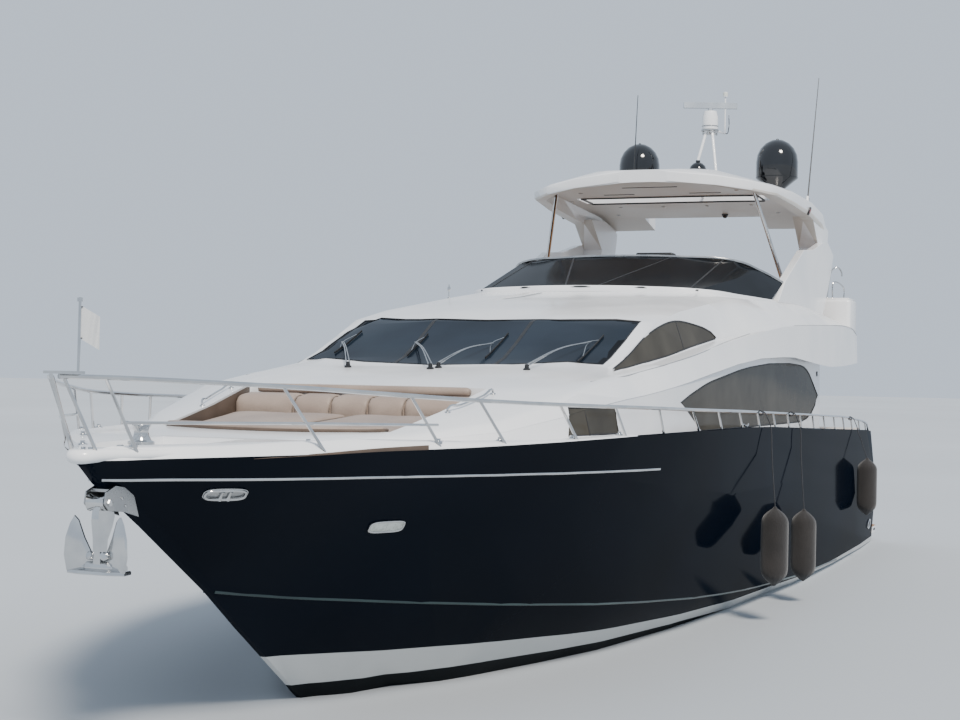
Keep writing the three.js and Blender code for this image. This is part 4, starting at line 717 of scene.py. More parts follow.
def fairlead_ring(shape, side):
    """The oval ring of a fairlead, its flange and its two rollers."""
    bar(shape, [(u, v, 0.012) for u, v in oval(*FAIRLEAD_HALF)], 0.014, closed=True)
    bar(shape, [(u, v, 0.004) for u, v in oval(FAIRLEAD_HALF[0] + 0.012, FAIRLEAD_HALF[1] + 0.012)], 0.008,
        closed=True)
    for offset in (-0.035, 0.035):
        turned(shape, [(0, -0.058), (0.022, -0.058), (0.015, -0.03), (0.013, 0), (0.015, 0.03),
                       (0.022, 0.058), (0, 0.058)], (offset, 0, 0.012), axis=(0, 1, 0), steps=16)
    return hull_matrix(FAIRLEAD, side)


def fairlead_throat(shape, side):
    """The plate behind the rollers."""
    plate(shape, oval(FAIRLEAD_HALF[0] - 0.004, FAIRLEAD_HALF[1] - 0.004), 0.003, at=(0, 0, -0.0005))
    return hull_matrix(FAIRLEAD, side)


def lamp_frame(shape, side):
    """The rounded frame of a docking light."""
    bar(shape, [(u, v, 0.006) for u, v in oval(*LAMP_HALF, power=0.5)], 0.012, closed=True)
    return hull_matrix(LAMP, side)


def lamp_lens(shape, side):
    """Its lens, with two moulded ribs."""
    plate(shape, oval(LAMP_HALF[0] - 0.002, LAMP_HALF[1] - 0.002, power=0.5), 0.009, at=(0, 0, -0.001),
          rounding=0.004)
    bar(shape, [(-0.09, -0.03, 0.009), (-0.09, 0.03, 0.009)], 0.004, facets=1)
    bar(shape, [(0.0, -0.04, 0.009), (0.0, 0.04, 0.009)], 0.003, facets=1)
    return hull_matrix(LAMP, side)


fitting("fairlead_rings", fairlead_ring, "polished_stainless")
fitting("fairlead_throats", fairlead_throat, "brushed_stainless")
fitting("lamp_frames", lamp_frame, "polished_stainless")
fitting("lamp_lenses", lamp_lens, "frosted_lens")

# %% [markdown]
# Each pane is bonded into its opening and sealed with a black gasket. The gasket follows
# the edge of the pane's outer face, so that edge is read from the pane: the faces that
# look outwards are kept, and their open edges are walked round. The black ceramic band
# that hides the glue is the same face inset, and the joints between panes are the same
# face cut down to a strip by two planes.

# %% Outer faces
def outer_face(node_name, looks_out):
    """The part of a pane that looks outwards, as an open bmesh."""
    shape = welded(node_name)
    bmesh.ops.triangulate(shape, faces=shape.faces)
    away = [face for face in shape.faces if not looks_out(face)]
    bmesh.ops.delete(shape, geom=away, context="FACES")
    bmesh.ops.remove_doubles(shape, verts=shape.verts, dist=0.004)
    return shape


def edge_loops(shape):
    """The open edges of a bmesh, as closed runs of points."""
    left = {edge for edge in shape.edges if len(edge.link_faces) == 1}
    loops = []
    while left:
        edge = left.pop()
        start, vert = edge.verts
        loop = [start.co.copy()]
        while vert != start:
            loop.append(vert.co.copy())
            onward = [each for each in vert.link_edges if each in left]
            if not onward:
                break
            left.discard(onward[0])
            vert = onward[0].other_vert(vert)
        loops.append(loop)
    return sorted(loops, key=len)


def looking(direction, least=0.3):
    """Tells whether a face looks along a direction."""
    wanted = Vector(direction).normalized()
    return lambda face: face.normal.dot(wanted) > least


def looking_from(centre, least=0.35):
    """Tells whether a face looks away from a point inside."""
    inside = Vector(centre)
    return lambda face: face.normal.dot((face.calc_center_median() - inside).normalized()) > least


def thicken(shape, lift, depth=0.003):
    """Lifts an open face off its pane and gives it a thickness."""
    bmesh.ops.recalc_face_normals(shape, faces=shape.faces)
    shape.normal_update()
    for vert in shape.verts:
        vert.co += vert.normal * lift
    bmesh.ops.solidify(shape, geom=shape.faces[:], thickness=depth)


def strip_of(node_name, looks_out, start, end, width):
    """A strip of a pane's face along the line between two points, seen from above."""
    shape = outer_face(node_name, looks_out)
    across = (Vector(end) - Vector(start)).cross(Vector((0, 0, 1))).normalized()
    if across.length < 0.5:
        across = Vector((1, 0, 0))
    for sign in (1, -1):
        bmesh.ops.bisect_plane(shape, geom=shape.verts[:] + shape.edges[:] + shape.faces[:], dist=0.0001,
                               plane_co=Vector(start) + across * sign * width / 2, plane_no=across * sign,
                               clear_outer=True)
    return shape


# %% [markdown]
# A gasket is a round rubber cord pressed into the joint. It could be swept along a copied
# edge, but the longest open edge of the outer face is already the line that it follows.

# %% Gaskets of the glass
SEE_UP, SEE_FROM_HELM = looking((0.3, 0, 1)), looking_from((-5, 0, 4.2))
PANES = [(f"{kind}_window_{label}", looking((0, side, 0.3)), 0.012)
         for kind in ("arch", "saloon", "forward") for label, side in SIDES]
PANES += [("windscreen", SEE_UP, 0.011), ("flybridge_screen", SEE_FROM_HELM, 0.006)]
gaskets = bmesh.new()
for node_name, looks_out, radius in PANES:
    face = outer_face(node_name, looks_out)
    loop = edge_loops(face)[-1]
    face.free()
    print(node_name, "edge of", len(loop), "points")
    bar(gaskets, loop, radius, closed=True, curved=False, facets=1)
piece("window_gaskets", gaskets, "black_rubber")

# %% [markdown]
# The windscreen has a black ceramic band fired on round its edge and two upright joints,
# and each arch window has one joint. All of them are parts of the pane's own outer face.

# %% Bands and joints
BAND, JOINT = 0.075, 0.045
SCREEN_JOINTS = (((5.47, -0.50, 0), (3.675, -0.69, 0)), ((5.60, 0.747, 0), (3.785, 0.62, 0)))
ARCH_JOINT_X = 2.45

band = outer_face("windscreen", SEE_UP)
bmesh.ops.dissolve_limit(band, angle_limit=math.radians(2), verts=band.verts, edges=band.edges)
rim_faces = bmesh.ops.inset_region(band, faces=band.faces[:], thickness=BAND, use_boundary=True,
                                   use_even_offset=True)
bmesh.ops.delete(band, geom=[face for face in band.faces if face not in rim_faces["faces"]],
                 context="FACES")
thicken(band, 0.0015)
piece("ceramic_band", band, "ceramic_frit")


def add_strip(shape, strip):
    """Gives a strip of a pane its thickness and adds it to a bmesh."""
    thicken(strip, 0.002)
    mesh = turned_to_mesh(strip, "strip")
    shape.from_mesh(mesh)
    bpy.data.meshes.remove(mesh)


joints = bmesh.new()
for foot, head in SCREEN_JOINTS:
    add_strip(joints, strip_of("windscreen", SEE_UP, foot, head, JOINT))
for label, side in SIDES:
    at = (ARCH_JOINT_X, side * 2, 3.2)
    add_strip(joints, strip_of(f"arch_window_{label}", looking((0, side, 0.3)), at,
                               (ARCH_JOINT_X, side * 3, 3.2), 0.02))
piece("pane_joints", joints, "black_rubber")

# %% [markdown]
# The low screen of the upper deck is bent acrylic with a brushed rail along its head,
# glued joints and a white sill at its foot. Rail and sill are bars along a few points of
# one half, mirrored to the other, and the joints are cut from the pane as before.

# %% Upper screen
SCREEN_HEAD = ((-3.47, 2.3, 4.755), (-2.95, 2.06, 4.905), (-2.48, 1.74, 5.035), (-2.26, 0.93, 5.085),
               (-2.19, 0.0, 5.1))
SCREEN_FOOT = ((-2.57, 2.3, 4.43), (-1.5, 2.07, 4.445), (-0.46, 1.68, 4.475), (-0.2, 0.91, 4.5),
               (-0.12, 0.0, 4.51))
SCREEN_JOINTS_UP = (((-0.34, 0.30), (-1.734, 0.667)), ((-0.34, 1.55), (-1.915, 1.56)))


def both_sides(half):
    """A line drawn from port to the centreline, carried on as its mirror image."""
    return list(half) + [(x, -y, z) for x, y, z in reversed(half[:-1])]


cap = bmesh.new()
bar(cap, both_sides(SCREEN_HEAD), 0.013, wide=0.012)
piece("screen_cap_rail", cap, "brushed_stainless")
uprights = bmesh.new()
for _, side in SIDES:
    for (x0, y0), (x1, y1) in SCREEN_JOINTS_UP:
        add_strip(uprights, strip_of("flybridge_screen", SEE_FROM_HELM, (x0, side * y0, 0),
                                     (x1, side * y1, 0), 0.028))
piece("upper_screen_joints", uprights, "black_rubber")
sill = bmesh.new()
bar(sill, [(x + 0.01, y, z - 0.045) for x, y, z in both_sides(SCREEN_FOOT)], 0.02, wide=0.06)
piece("screen_sill", sill, "white_gelcoat")

# %% [markdown]
# Four wipers sweep the windscreen. Each is a pair of thin steel arms from a spindle in the
# sill to a blade, like a parallelogram, so that the blade keeps its angle. The spindle
# stands on the sill and the arms run a hand's breadth above the glass.

# %% Wipers
WIPERS = [
    # spindle (x, y), arm end (x, y), blade foot (x, y), blade head (x, y)
    ((5.72, -0.94), (4.5, -1.58), (4.85, -1.53), (4.07, -1.54)),
    ((5.80, 0.12), (4.62, -0.56), (5.0, -0.51), (4.26, -0.56)),
    ((5.66, 0.16), (4.62, 0.42), (5.06, 0.50), (4.22, 0.47)),
    ((5.66, 1.22), (4.42, 1.55), (5.02, 1.60), (4.08, 1.62)),
]
ARM_LIFT, BLADE_LIFT = 0.045, 0.016
SCREEN_TREE = tree_of("superstructure", "windscreen")
spindles, arms, blades = bmesh.new(), bmesh.new(), bmesh.new()
for spindle, arm_end, blade_foot, blade_head in WIPERS:
    seat = on_top(SCREEN_TREE, *spindle)
    turned(spindles, [(0, -0.01), (0.042, -0.01), (0.042, 0.012), (0.026, 0.022), (0.022, 0.06),
                      (0, 0.066)], seat, steps=16)
    grip = on_top(SCREEN_TREE, *arm_end, ARM_LIFT)
    across = Vector((0, 0.022, 0))
    for sign in (1, -1):
        top = seat + Vector((0, 0, 0.05)) + across * sign
        middle = (top + grip) / 2 + Vector((0, 0, 0.05))
        bar(arms, [top, middle, grip + across * sign * 0.6], 0.007, facets=1)
    bar(arms, [grip - across * 0.8, grip + across * 0.8], 0.009, facets=1)
    line = [on_top(SCREEN_TREE, *(Vector(blade_foot).lerp(Vector(blade_head), share)), BLADE_LIFT)
            for share in (0, 0.2, 0.4, 0.6, 0.8, 1)]
    bar(blades, line, 0.006, wide=0.014, facets=1)
    bar(arms, [line[1] + Vector((0, 0, 0.012)), grip, line[4] + Vector((0, 0, 0.012))], 0.005, facets=1)
piece("wiper_spindles", spindles, "black_nylon")
piece("wiper_arms", arms, "brushed_stainless")
piece("wiper_blades", blades, "black_rubber")

# %% [markdown]
# The sunpad in the well of the foredeck is foam in taupe vinyl: two wide pads that meet
# near the centreline and a backrest sewn in five lengths. Each pad starts as a block on
# the slope of the well, is remeshed to even faces and blown up as a cloth under pressure
# with gravity off. A cap holds how far a point may move, so the pad stays in its place,
# and the piping is added after, because the remesh would swallow it.

# %% Padded pieces
VOXEL, PRESSURE, FRAMES, SWELL = 0.028, 4.0, 20, 0.028


def inflate(made, swell):
    """Runs cloth under pressure on a remeshed pad, with its movement capped."""
    remesh = made.modifiers.new("remesh", "REMESH")
    remesh.mode = "VOXEL"
    remesh.voxel_size = VOXEL
    bpy.context.view_layer.update()
    graph = bpy.context.evaluated_depsgraph_get()
    dense = bpy.data.meshes.new_from_object(made.evaluated_get(graph))
    made.modifiers.clear()
    made.data = dense
    rest = [vert.co.copy() for vert in dense.vertices]
    cloth = made.modifiers.new("cloth", "CLOTH")
    cloth.settings.use_pressure = True
    cloth.settings.uniform_pressure_force = PRESSURE
    cloth.settings.effector_weights.gravity = 0
    cloth.settings.quality = 4
    for moment in range(1, FRAMES + 1):
        bpy.context.scene.frame_set(moment)
    graph = bpy.context.evaluated_depsgraph_get()
    blown = bpy.data.meshes.new_from_object(made.evaluated_get(graph))
    made.modifiers.clear()
    for vert, start, end in zip(dense.vertices, rest, [each.co.copy() for each in blown.vertices]):
        moved = end - start
        vert.co = start + moved * min(1, swell / max(moved.length, 1e-6))
    bpy.context.scene.frame_set(1)
    smooth = made.modifiers.new("soft", "SUBSURF")
    smooth.levels = smooth.render_levels = 1


def cushion(name, shape, finish_name, swell=SWELL, stands_for=()):
    """A closed bmesh made a stuffed pad of the boat."""
    made = piece(name, shape, finish_name, stands_for=stands_for, corner=math.radians(180))
    inflate(made, swell)
    made.data.shade_smooth()
    if not made.data.materials:
        made.data.materials.append(FINISHES[finish_name])
    return made


# %% [markdown]
# The well is deepest at its front, so everything in it is placed by two functions: the
# height of its floor and its half width, each along the boat.

# %% Sunpad
PAD_FRONT, PAD_BACK, PAD_FLOOR_FRONT, PAD_SLOPE = 9.26, 7.72, 2.47, 0.19 / 1.96
HALF_FRONT, HALF_BACK = 1.16, 1.30
BACKREST_FRONT, BACKREST_MIDDLE, BACKREST_BACK = 7.708, 7.5, 7.3
PAD_THICK, BACKREST_HIGH = 0.115, 0.29
SEAM_FRONT, SEAM_BACK = -0.2, 0.1


def pad_floor(x):
    """The height of the floor of the well."""
    return PAD_FLOOR_FRONT + (PAD_FRONT - x) * PAD_SLOPE


def half_at(x):
    """Half the width of the well."""
    return HALF_FRONT + (PAD_FRONT - x) / (PAD_FRONT - BACKREST_BACK) * (HALF_BACK + 0.03 - HALF_FRONT)


def slab(corners, low, high, rounding, segments=3):
    """A pad with four corners in plan, lying on the slope of the well."""
    shape = bmesh.new()
    plate(shape, corners, high - low)
    for vert in shape.verts:
        vert.co.z += pad_floor(vert.co.x) + low
    upper = [edge for edge in shape.edges if not all(vert.co.z < pad_floor(vert.co.x) + low + 0.01
                                                     for vert in edge.verts)]
    bmesh.ops.bevel(shape, geom=upper, offset=rounding, segments=segments, profile=0.5, affect="EDGES",
                    material=-1)
    return shape


INSET, PAD_LIFT, PAD_ROUNDING = 0.03, 0.004, 0.035
front, back = PAD_FRONT - INSET, PAD_BACK + INSET
for label, side in SIDES:
    corners = [(front, SEAM_FRONT + side * INSET), (back, SEAM_BACK + side * INSET),
               (back, side * (half_at(back) - INSET)), (front, side * (half_at(front) - INSET))]
    # Both outlines have to run the same way round
    if side < 0:
        corners[1:] = corners[:0:-1]
    cushion(f"sunpad_{label}", slab(corners, PAD_LIFT, PAD_THICK, PAD_ROUNDING), "taupe_vinyl",
            stands_for=["sunpad"])
BACKREST_SEAMS = (-1.31, -0.62, -0.2, 0.22, 0.62, 1.31)
LOOSE, SEAM_GAP = 0.02, 0.003
for number, (low, high) in enumerate(zip(BACKREST_SEAMS, BACKREST_SEAMS[1:])):
    corners = [(BACKREST_FRONT - LOOSE, low + SEAM_GAP), (BACKREST_BACK + LOOSE, low + SEAM_GAP),
               (BACKREST_BACK + LOOSE, high - SEAM_GAP), (BACKREST_FRONT - LOOSE, high - SEAM_GAP)]
    length = bmesh.new()
    plate(length, corners, BACKREST_HIGH - LOOSE)
    for vert in length.verts:
        vert.co.z += pad_floor(vert.co.x) + PAD_LIFT
    crown = [each for each in length.edges
             if min(vert.co.z for vert in each.verts) > pad_floor(BACKREST_MIDDLE) + 0.1
             and abs(each.verts[0].co.y - each.verts[1].co.y) > 0.1]
    bmesh.ops.bevel(length, geom=crown, offset=0.1, segments=5, profile=0.5, affect="EDGES", material=-1)
    cushion(f"backrest_{number + 1}", length, "taupe_vinyl", swell=0.012,
            stands_for=["sunpad_bolster"] if number == 0 else ())

# %% [markdown]
# In front the pad runs out over the lip of its well in a thin tongue with a curved edge.
# It is too thin for the voxels of a simulation, so its crown is a bevel over a plate that
# follows the deck.

# %% Front of the sunpad
TONGUE = ((9.3, -1.13), (9.44, -0.95), (9.56, -0.62), (9.62, -0.2), (9.63, 0.2), (9.57, 0.62), (9.45, 0.95),
          (9.3, 1.13))
TONGUE_BACK, TONGUE_THICK, TONGUE_HALF, LIP_X = 9.2, 0.042, 1.13, 9.3
tongue = bmesh.new()
plate(tongue, TONGUE + ((TONGUE_BACK, TONGUE_HALF), (TONGUE_BACK, -TONGUE_HALF)), TONGUE_THICK)
rim_edges = [edge for edge in tongue.edges if all(vert.co.z > TONGUE_THICK / 2 for vert in edge.verts)
             and len([face for face in edge.link_faces if abs(face.normal.z) > 0.5]) == 1]
bmesh.ops.bevel(tongue, geom=rim_edges, offset=0.018, segments=3, profile=0.5, affect="EDGES", material=-1)
for vert in tongue.verts:
    vert.co.z += on_top(HOUSE_TREE, max(vert.co.x, LIP_X), vert.co.y).z + 0.003
piece("sunpad_front", tongue, "taupe_vinyl")
# A brown bar along the front edge is painted shade: it stands for the shaded front face of the pad, which
# is taupe vinyl like its top
edging = bmesh.new()
edge_line = ((TONGUE_BACK, -1.135),) + TONGUE + ((TONGUE_BACK, 1.135),)
bar(edging, [(x + 0.008, y, on_top(HOUSE_TREE, max(x, LIP_X), y).z + 0.014) for x, y in edge_line], 0.01,
    wide=0.008)
piece("sunpad_front_shade", edging, "brown_trim_and_painted_shade")

# %% [markdown]
# The well of the sunpad is lined with brown edging, and its seams are piped. The piping is
# a thin tube laid where two pads meet, a little below their crowns.

# %% Well lining and piping
WELL_PANEL = 0.012
lining = bmesh.new()
for _, side in SIDES:
    foot = [(x, side * (half_at(x) + 0.008), pad_floor(x)) for x in (9.28, 8.75, 8.2, 7.7, 7.31)]
    run = [lining.verts.new(point) for point in foot]
    edges = [lining.edges.new(pair) for pair in zip(run, run[1:])]
    raised = bmesh.ops.extrude_edge_only(lining, edges=edges)["geom"]
    for vert in [part for part in raised if isinstance(part, bmesh.types.BMVert)]:
        ceiling = on_top(HOUSE_TREE, vert.co.x, vert.co.y + side * 0.03)
        vert.co.z = max(vert.co.z + 0.05, min(ceiling.z - 0.012, vert.co.z + 0.42))
bmesh.ops.solidify(lining, geom=lining.faces[:], thickness=WELL_PANEL)
piece("well_lining", lining, "brown_trim_and_painted_shade")

piping = bmesh.new()
SEAM_DROP = 0.012
bar(piping, [(x, SEAM_FRONT + (SEAM_BACK - SEAM_FRONT) * (PAD_FRONT - x) / (PAD_FRONT - PAD_BACK),
              pad_floor(x) + PAD_THICK - SEAM_DROP) for x in (front, 8.9, 8.5, 8.1, back)], 0.006, facets=1)
for seam in BACKREST_SEAMS[1:-1]:
    x_front, x_back = BACKREST_FRONT - 0.012, BACKREST_BACK + 0.06
    top = pad_floor(BACKREST_MIDDLE) + BACKREST_HIGH - 0.03
    bar(piping, [(x_front, seam, pad_floor(x_front) + 0.05), (x_front - 0.005, seam, top - 0.09),
                 (x_front - 0.08, seam, top - 0.012), (x_back + 0.05, seam, top)], 0.006, facets=1)
piece("pad_piping", piping, "vinyl_piping")

# %% [markdown]
# On the rims of the well are two bent grab rails, and behind the backrest a long pad for
# the head lies against the after wall of the well. A round flange covers each end of a rail.

# %% Grab rails and head pad
GRAB = ((8.28, 1.345), (8.1, 1.40), (7.9, 1.44), (7.66, 1.475), (7.44, 1.49))
grabs = bmesh.new()
for _, side in SIDES:
    over = [on_top(HOUSE_TREE, x, side * y, 0.034) for x, y in GRAB]
    ends = [on_top(HOUSE_TREE, x, side * y, -0.004) for x, y in (GRAB[0], GRAB[-1])]
    bar(grabs, [ends[0], over[0], *over[1:-1], over[-1], ends[1]], 0.012, facets=2)
    for end in ends:
        turned(grabs, [(0, 0), (0.032, 0), (0.028, 0.012), (0.014, 0.016), (0, 0.016)], end, steps=16)
piece("grab_rails", grabs, "polished_stainless")

HEAD_PAD_X, HEAD_PAD_HALF, HEAD_PAD_Z = (7.29, 7.39), 1.22, (2.93, 3.025)
head_pad = bmesh.new()
block(head_pad, (HEAD_PAD_X[0], -HEAD_PAD_HALF, HEAD_PAD_Z[0]),
      (HEAD_PAD_X[1], HEAD_PAD_HALF, HEAD_PAD_Z[1]), 0.03)
cushion("head_pad", head_pad, "taupe_vinyl", swell=0.006)

# %% [markdown]
# The bow ends in a full white nose: a moulded rubbing strake wraps the edge of the
# foredeck, fat at the stem and thinner along the side. It is a bar along the sheer.

# %% Bow nose
NOSE = ((10.6, 2.47, 0.15), (11.1, 2.46, 0.3), (11.5, 2.45, 0.5), (11.8, 2.44, 0.72), (12.08, 2.44, 0.95),
        (12.26, 2.44, 1.1))
NOSE_TIP, NOSE_RADIUS, NOSE_RISE = (12.42, 0, 2.46), 0.046, 0.05
nose = bmesh.new()
sides = [[on_side(HULL_TREE, x, z - 0.03, side, -0.016) for x, z, _ in NOSE] for _, side in SIDES]
sides = [[point + Vector((0, 0, NOSE_RISE)) for point in line] for line in sides]
swelling = [share for _, _, share in NOSE]
bar(nose, sides[0] + [NOSE_TIP] + sides[1][::-1], NOSE_RADIUS, facets=5,
    taper=swelling + [1.25] + swelling[::-1])
piece("bow_nose", nose, "white_gelcoat")

# %% [markdown]
# The foot of each stanchion stands in a small round flange. The flanges are turned, one
# for each foot, and a ray from above finds the deck under it.

# %% Stanchion feet
LOWEST_DECK = 2.2
FEET = [(12.30, 0.033), (12.02, 0.23), (10.74, 1.10), (9.68, 1.83), (8.95, 2.13), (7.91, 2.48),
        (7.01, 2.69)]
flanges = bmesh.new()
for x, y in FEET:
    for _, side in SIDES:
        seat = on_top(HOUSE_TREE, x, side * y)
        if seat and seat.z > LOWEST_DECK:
            turned(flanges, [(0, 0), (0.038, 0), (0.036, 0.01), (0.02, 0.016), (0.019, 0.035), (0, 0.035)],
                   seat - Vector((0, 0, 0.002)), steps=16)
piece("stanchion_flanges", flanges, "polished_stainless")

# %% [markdown]
# Three fenders hang along the port side. Each is a long inflated buoy in a knitted cover
# that is gathered to a point at both ends. The cover is a turned profile whose ends are
# pulled into folds. The lanyard goes from its eye up over the bulwark to a hitch on the
# rail, 14 mm rope under the weight of the fender.

# %% Fenders
FENDERS = [(1.36, 3.176, 1.53, ((1.36, 3.085, 2.585), (1.36, 2.965, 2.768))),
           (-0.95, 3.144, 1.35, ((-0.95, 3.053, 2.53), (-0.95, 2.936, 2.726))),
           (-7.62, 3.09, 1.84, ((-7.62, 2.893, 2.365), (-7.62, 2.771, 2.566)))]
FENDER_RADIUS, FENDER_LENGTH, LANYARD = 0.178, 1.03, 0.014
COVER = [(0, 0), (0.02, 0.0), (0.035, 0.018), (0.075, 0.045), (0.135, 0.095), (0.168, 0.15),
         (FENDER_RADIUS, 0.21), (FENDER_RADIUS, 0.3), (FENDER_RADIUS, 0.45), (FENDER_RADIUS, 0.6),
         (FENDER_RADIUS, 0.75), (FENDER_RADIUS, 0.83), (0.168, 0.88), (0.135, 0.93), (0.075, 0.98),
         (0.035, 1.005), (0.026, 1.015), (0.024, FENDER_LENGTH), (0, FENDER_LENGTH)]
FOLDS, FOLD_DEPTH = 14, 0.05
for number, (x, y, top, hitch) in enumerate(FENDERS):
    cover = bmesh.new()
    turned(cover, COVER, (x, y, top - FENDER_LENGTH), steps=48)
    for vert in cover.verts:
        height = (vert.co.z - top + FENDER_LENGTH) / FENDER_LENGTH
        gathered = max(0, 1 - 6.5 * min(height, 1 - height)) ** 0.8
        about = Vector((vert.co.x - x, vert.co.y - y, 0))
        if about.length > 0.001:
            pull = 1 - gathered * FOLD_DEPTH * (1 + math.cos(FOLDS * math.atan2(about.y, about.x)))
            vert.co = Vector((x, y, vert.co.z)) + about * pull
    made = piece(f"fender_cover_{number + 1}", cover, "knitted_cover", stands_for=[f"fender_{number + 1}"],
                 corner=math.radians(70))
    smooth = made.modifiers.new("soft", "SUBSURF")
    smooth.levels = smooth.render_levels = 1
    eye = Vector((x, y, top - 0.012))
    edge, rail = (Vector(point) for point in hitch)
    knots = [rail, rail + Vector((0, 0.045, -0.01)), (rail + edge) / 2 + Vector((0, 0.035, 0)),
             edge + Vector((0, 0.012, 0.0)), edge + Vector((0, 0.022, -0.06)),
             edge.lerp(eye, 0.3) + Vector((0, 0.006, 0)), edge.lerp(eye, 0.6), edge.lerp(eye, 0.85), eye]
    rope = bpy.data.curves.new(f"lanyard_{number + 1}", "CURVE")
    rope.dimensions = "3D"
    rope.bevel_depth = LANYARD / 2
    rope.bevel_resolution = 3
    rope.resolution_u = 8
    rope.use_fill_caps = True
    spline = rope.splines.new("BEZIER")
    spline.bezier_points.add(len(knots) - 1)
    for knot, point in zip(spline.bezier_points, knots):
        knot.co = point
        knot.handle_left_type = knot.handle_right_type = "AUTO"
    rope.materials.append(FINISHES["braided_rope"])
    lanyard = bpy.data.objects.new(f"lanyard_{number + 1}", rope)
    bpy.context.scene.collection.objects.link(lanyard)
    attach(lanyard, "yacht")
    hitches = bmesh.new()
    for turn in (-0.018, 0, 0.018):
        ring = [(rail.x + turn, rail.y + 0.03 * c, rail.z - 0.019 + 0.03 * s) for c, s in circle(10)]
        bar(hitches, ring, LANYARD / 2, closed=True, facets=2)
    piece(f"hitch_{number + 1}", hitches, "braided_rope")

# %% [markdown]
# Fittings of the ceiling hang from the surface above, so a ray goes up to find it. There
# are four slim black grilles and ten spotlights in steel rings. The rings are turned from
# a closed profile, so that the lens can sit inside.

# %% Ceiling fittings
roof_copy = bmesh.new()
roof_copy.from_mesh(skins["roof"].data)
ROOF_TREE = BVHTree.FromBMesh(roof_copy)
roof_copy.free()
UNDER_CEILING, OVER_ROOF = 5.75, 8


def under_roof(x, y, drop=0.0):
    """The point of the ceiling over a place, or a drop below it."""
    place, _, _, _ = ROOF_TREE.ray_cast(Vector((x, y, UNDER_CEILING)), Vector((0, 0, 1)))
    return place - Vector((0, 0, drop))


GRILLES = ((-4.55, 0.75), (-3.75, 0.2))
SPOTS = ((-4.25, 1.35), (-5.3, 1.85), (-6.2, 1.2), (-6.2, 0.4), (-7.1, 1.5))
grilles, rings, lenses = bmesh.new(), bmesh.new(), bmesh.new()
for _, side in SIDES:
    for x, y in GRILLES:
        seat = under_roof(x, side * y)
        block(grilles, seat - Vector((0.018, 0.27, 0.008)), seat + Vector((0.018, 0.27, 0.01)), 0.005)
    for x, y in SPOTS:
        seat = under_roof(x, side * y)
        turned(rings, [(0.026, 0.004), (0.042, 0.002), (0.044, -0.006), (0.034, -0.01), (0.026, -0.006),
                       (0.026, 0.004)], seat, steps=20)
        turned(lenses, [(0, 0.003), (0.028, 0.003), (0.028, -0.004), (0, -0.006)], seat, steps=16)
piece("speaker_grilles", grilles, "black_nylon")
piece("spot_rings", rings, "polished_stainless")
piece("spot_lenses", lenses, "frosted_lens")

# %% [markdown]
# The opening of the sunroof has a black frame round it and a strut across it, and a small
# camera dome hangs from the after beam. The same ray finds the height of each corner.

# %% Sunroof and camera dome
SUNROOF_FORE, SUNROOF_AFT, SUNROOF_MIDDLE, STRUT_Y = -4.95, -5.6, -5.2, 0.47
SUNROOF_YS = (-1.55, -0.8, 0, 0.8, 1.55)
sunroof = bmesh.new()
frame_line = [(SUNROOF_FORE, y) for y in SUNROOF_YS] + [(SUNROOF_AFT, y) for y in SUNROOF_YS[::-1]]
inner = [under_roof(x + (0.03 if x > SUNROOF_MIDDLE else -0.03), y, 0.004) for x, y in frame_line]
bar(sunroof, inner, 0.01, wide=0.02, closed=True, curved=False, facets=1)
piece("sunroof_frame", sunroof, "black_nylon")
strut = bmesh.new()
bar(strut, [under_roof(SUNROOF_FORE + 0.05, STRUT_Y, 0.0), under_roof(SUNROOF_FORE + 0.05, STRUT_Y, -0.06),
            under_roof(SUNROOF_AFT - 0.05, STRUT_Y, -0.06), under_roof(SUNROOF_AFT - 0.05, STRUT_Y, 0.0)],
    0.022, curved=False)
piece("sunroof_strut", strut, "white_gelcoat")
eye_dome = bmesh.new()
turned(eye_dome, [(0, 0.004), (0.06, 0.004), (0.062, -0.01), (0.05, -0.045), (0.03, -0.07), (0, -0.078)],
       under_roof(-7.2, 0.5), steps=24)
piece("camera_dome", eye_dome, "black_gelcoat")

# %% [markdown]
# On the roof stand the radar mast and what goes with it: a bolted bracket below the
# pedestal, a camera ball and three junction boxes between the legs, a small black aerial to
# port, and the lights of the after pole. The round ones are turned, as such housings are.

# %% Mast fittings
def over_roof(x, y, rise=0.0):
    """The point of the roof under a place, or a rise above it."""
    place, _, _, _ = ROOF_TREE.ray_cast(Vector((x, y, OVER_ROOF)), Vector((0, 0, -1)))
    return place + Vector((0, 0, rise))


bracket, black_parts, white_parts, light_parts = bmesh.new(), bmesh.new(), bmesh.new(), bmesh.new()
RADAR_X, BOARD_X = -8.0, -7.3
turned(bracket, [(0, 7.84), (0.075, 7.84), (0.1, 7.87), (0.165, 7.9), (0.165, 7.93), (0.14, 7.94),
                 (0, 7.94)], (RADAR_X, 0, 0), steps=24)
for c, s in circle(6):
    turned(bracket, [(0, 0), (0.018, 0), (0.018, 0.07), (0, 0.07)], (RADAR_X + 0.13 * c, 0.13 * s, 7.83),
           steps=8)
piece("radar_bracket", bracket, "brushed_stainless")
turned(black_parts, [(0, -0.02), (0.19, -0.02), (0.19, 0.1), (0.12, 0.16), (0.1, 0.3), (0.13, 0.33),
                     (0.16, 0.4), (0.165, 0.48), (0.14, 0.56), (0.09, 0.61), (0.045, 0.63), (0.04, 0.67),
                     (0, 0.68)], over_roof(BOARD_X, -0.05), steps=28)
turned(black_parts, [(0, -0.01), (0.08, -0.01), (0.08, 0.2), (0.075, 0.26), (0.05, 0.31), (0, 0.325)],
       over_roof(BOARD_X, 0.66), steps=20)
for y, size, rise in ((-0.3, 0.09, 0.2), (0.22, 0.08, 0.24), (0.42, 0.12, 0.16)):
    seat = over_roof(BOARD_X, y)
    block(black_parts, seat - Vector((size, size, 0.02)), seat + Vector((size, size, rise)), 0.02)
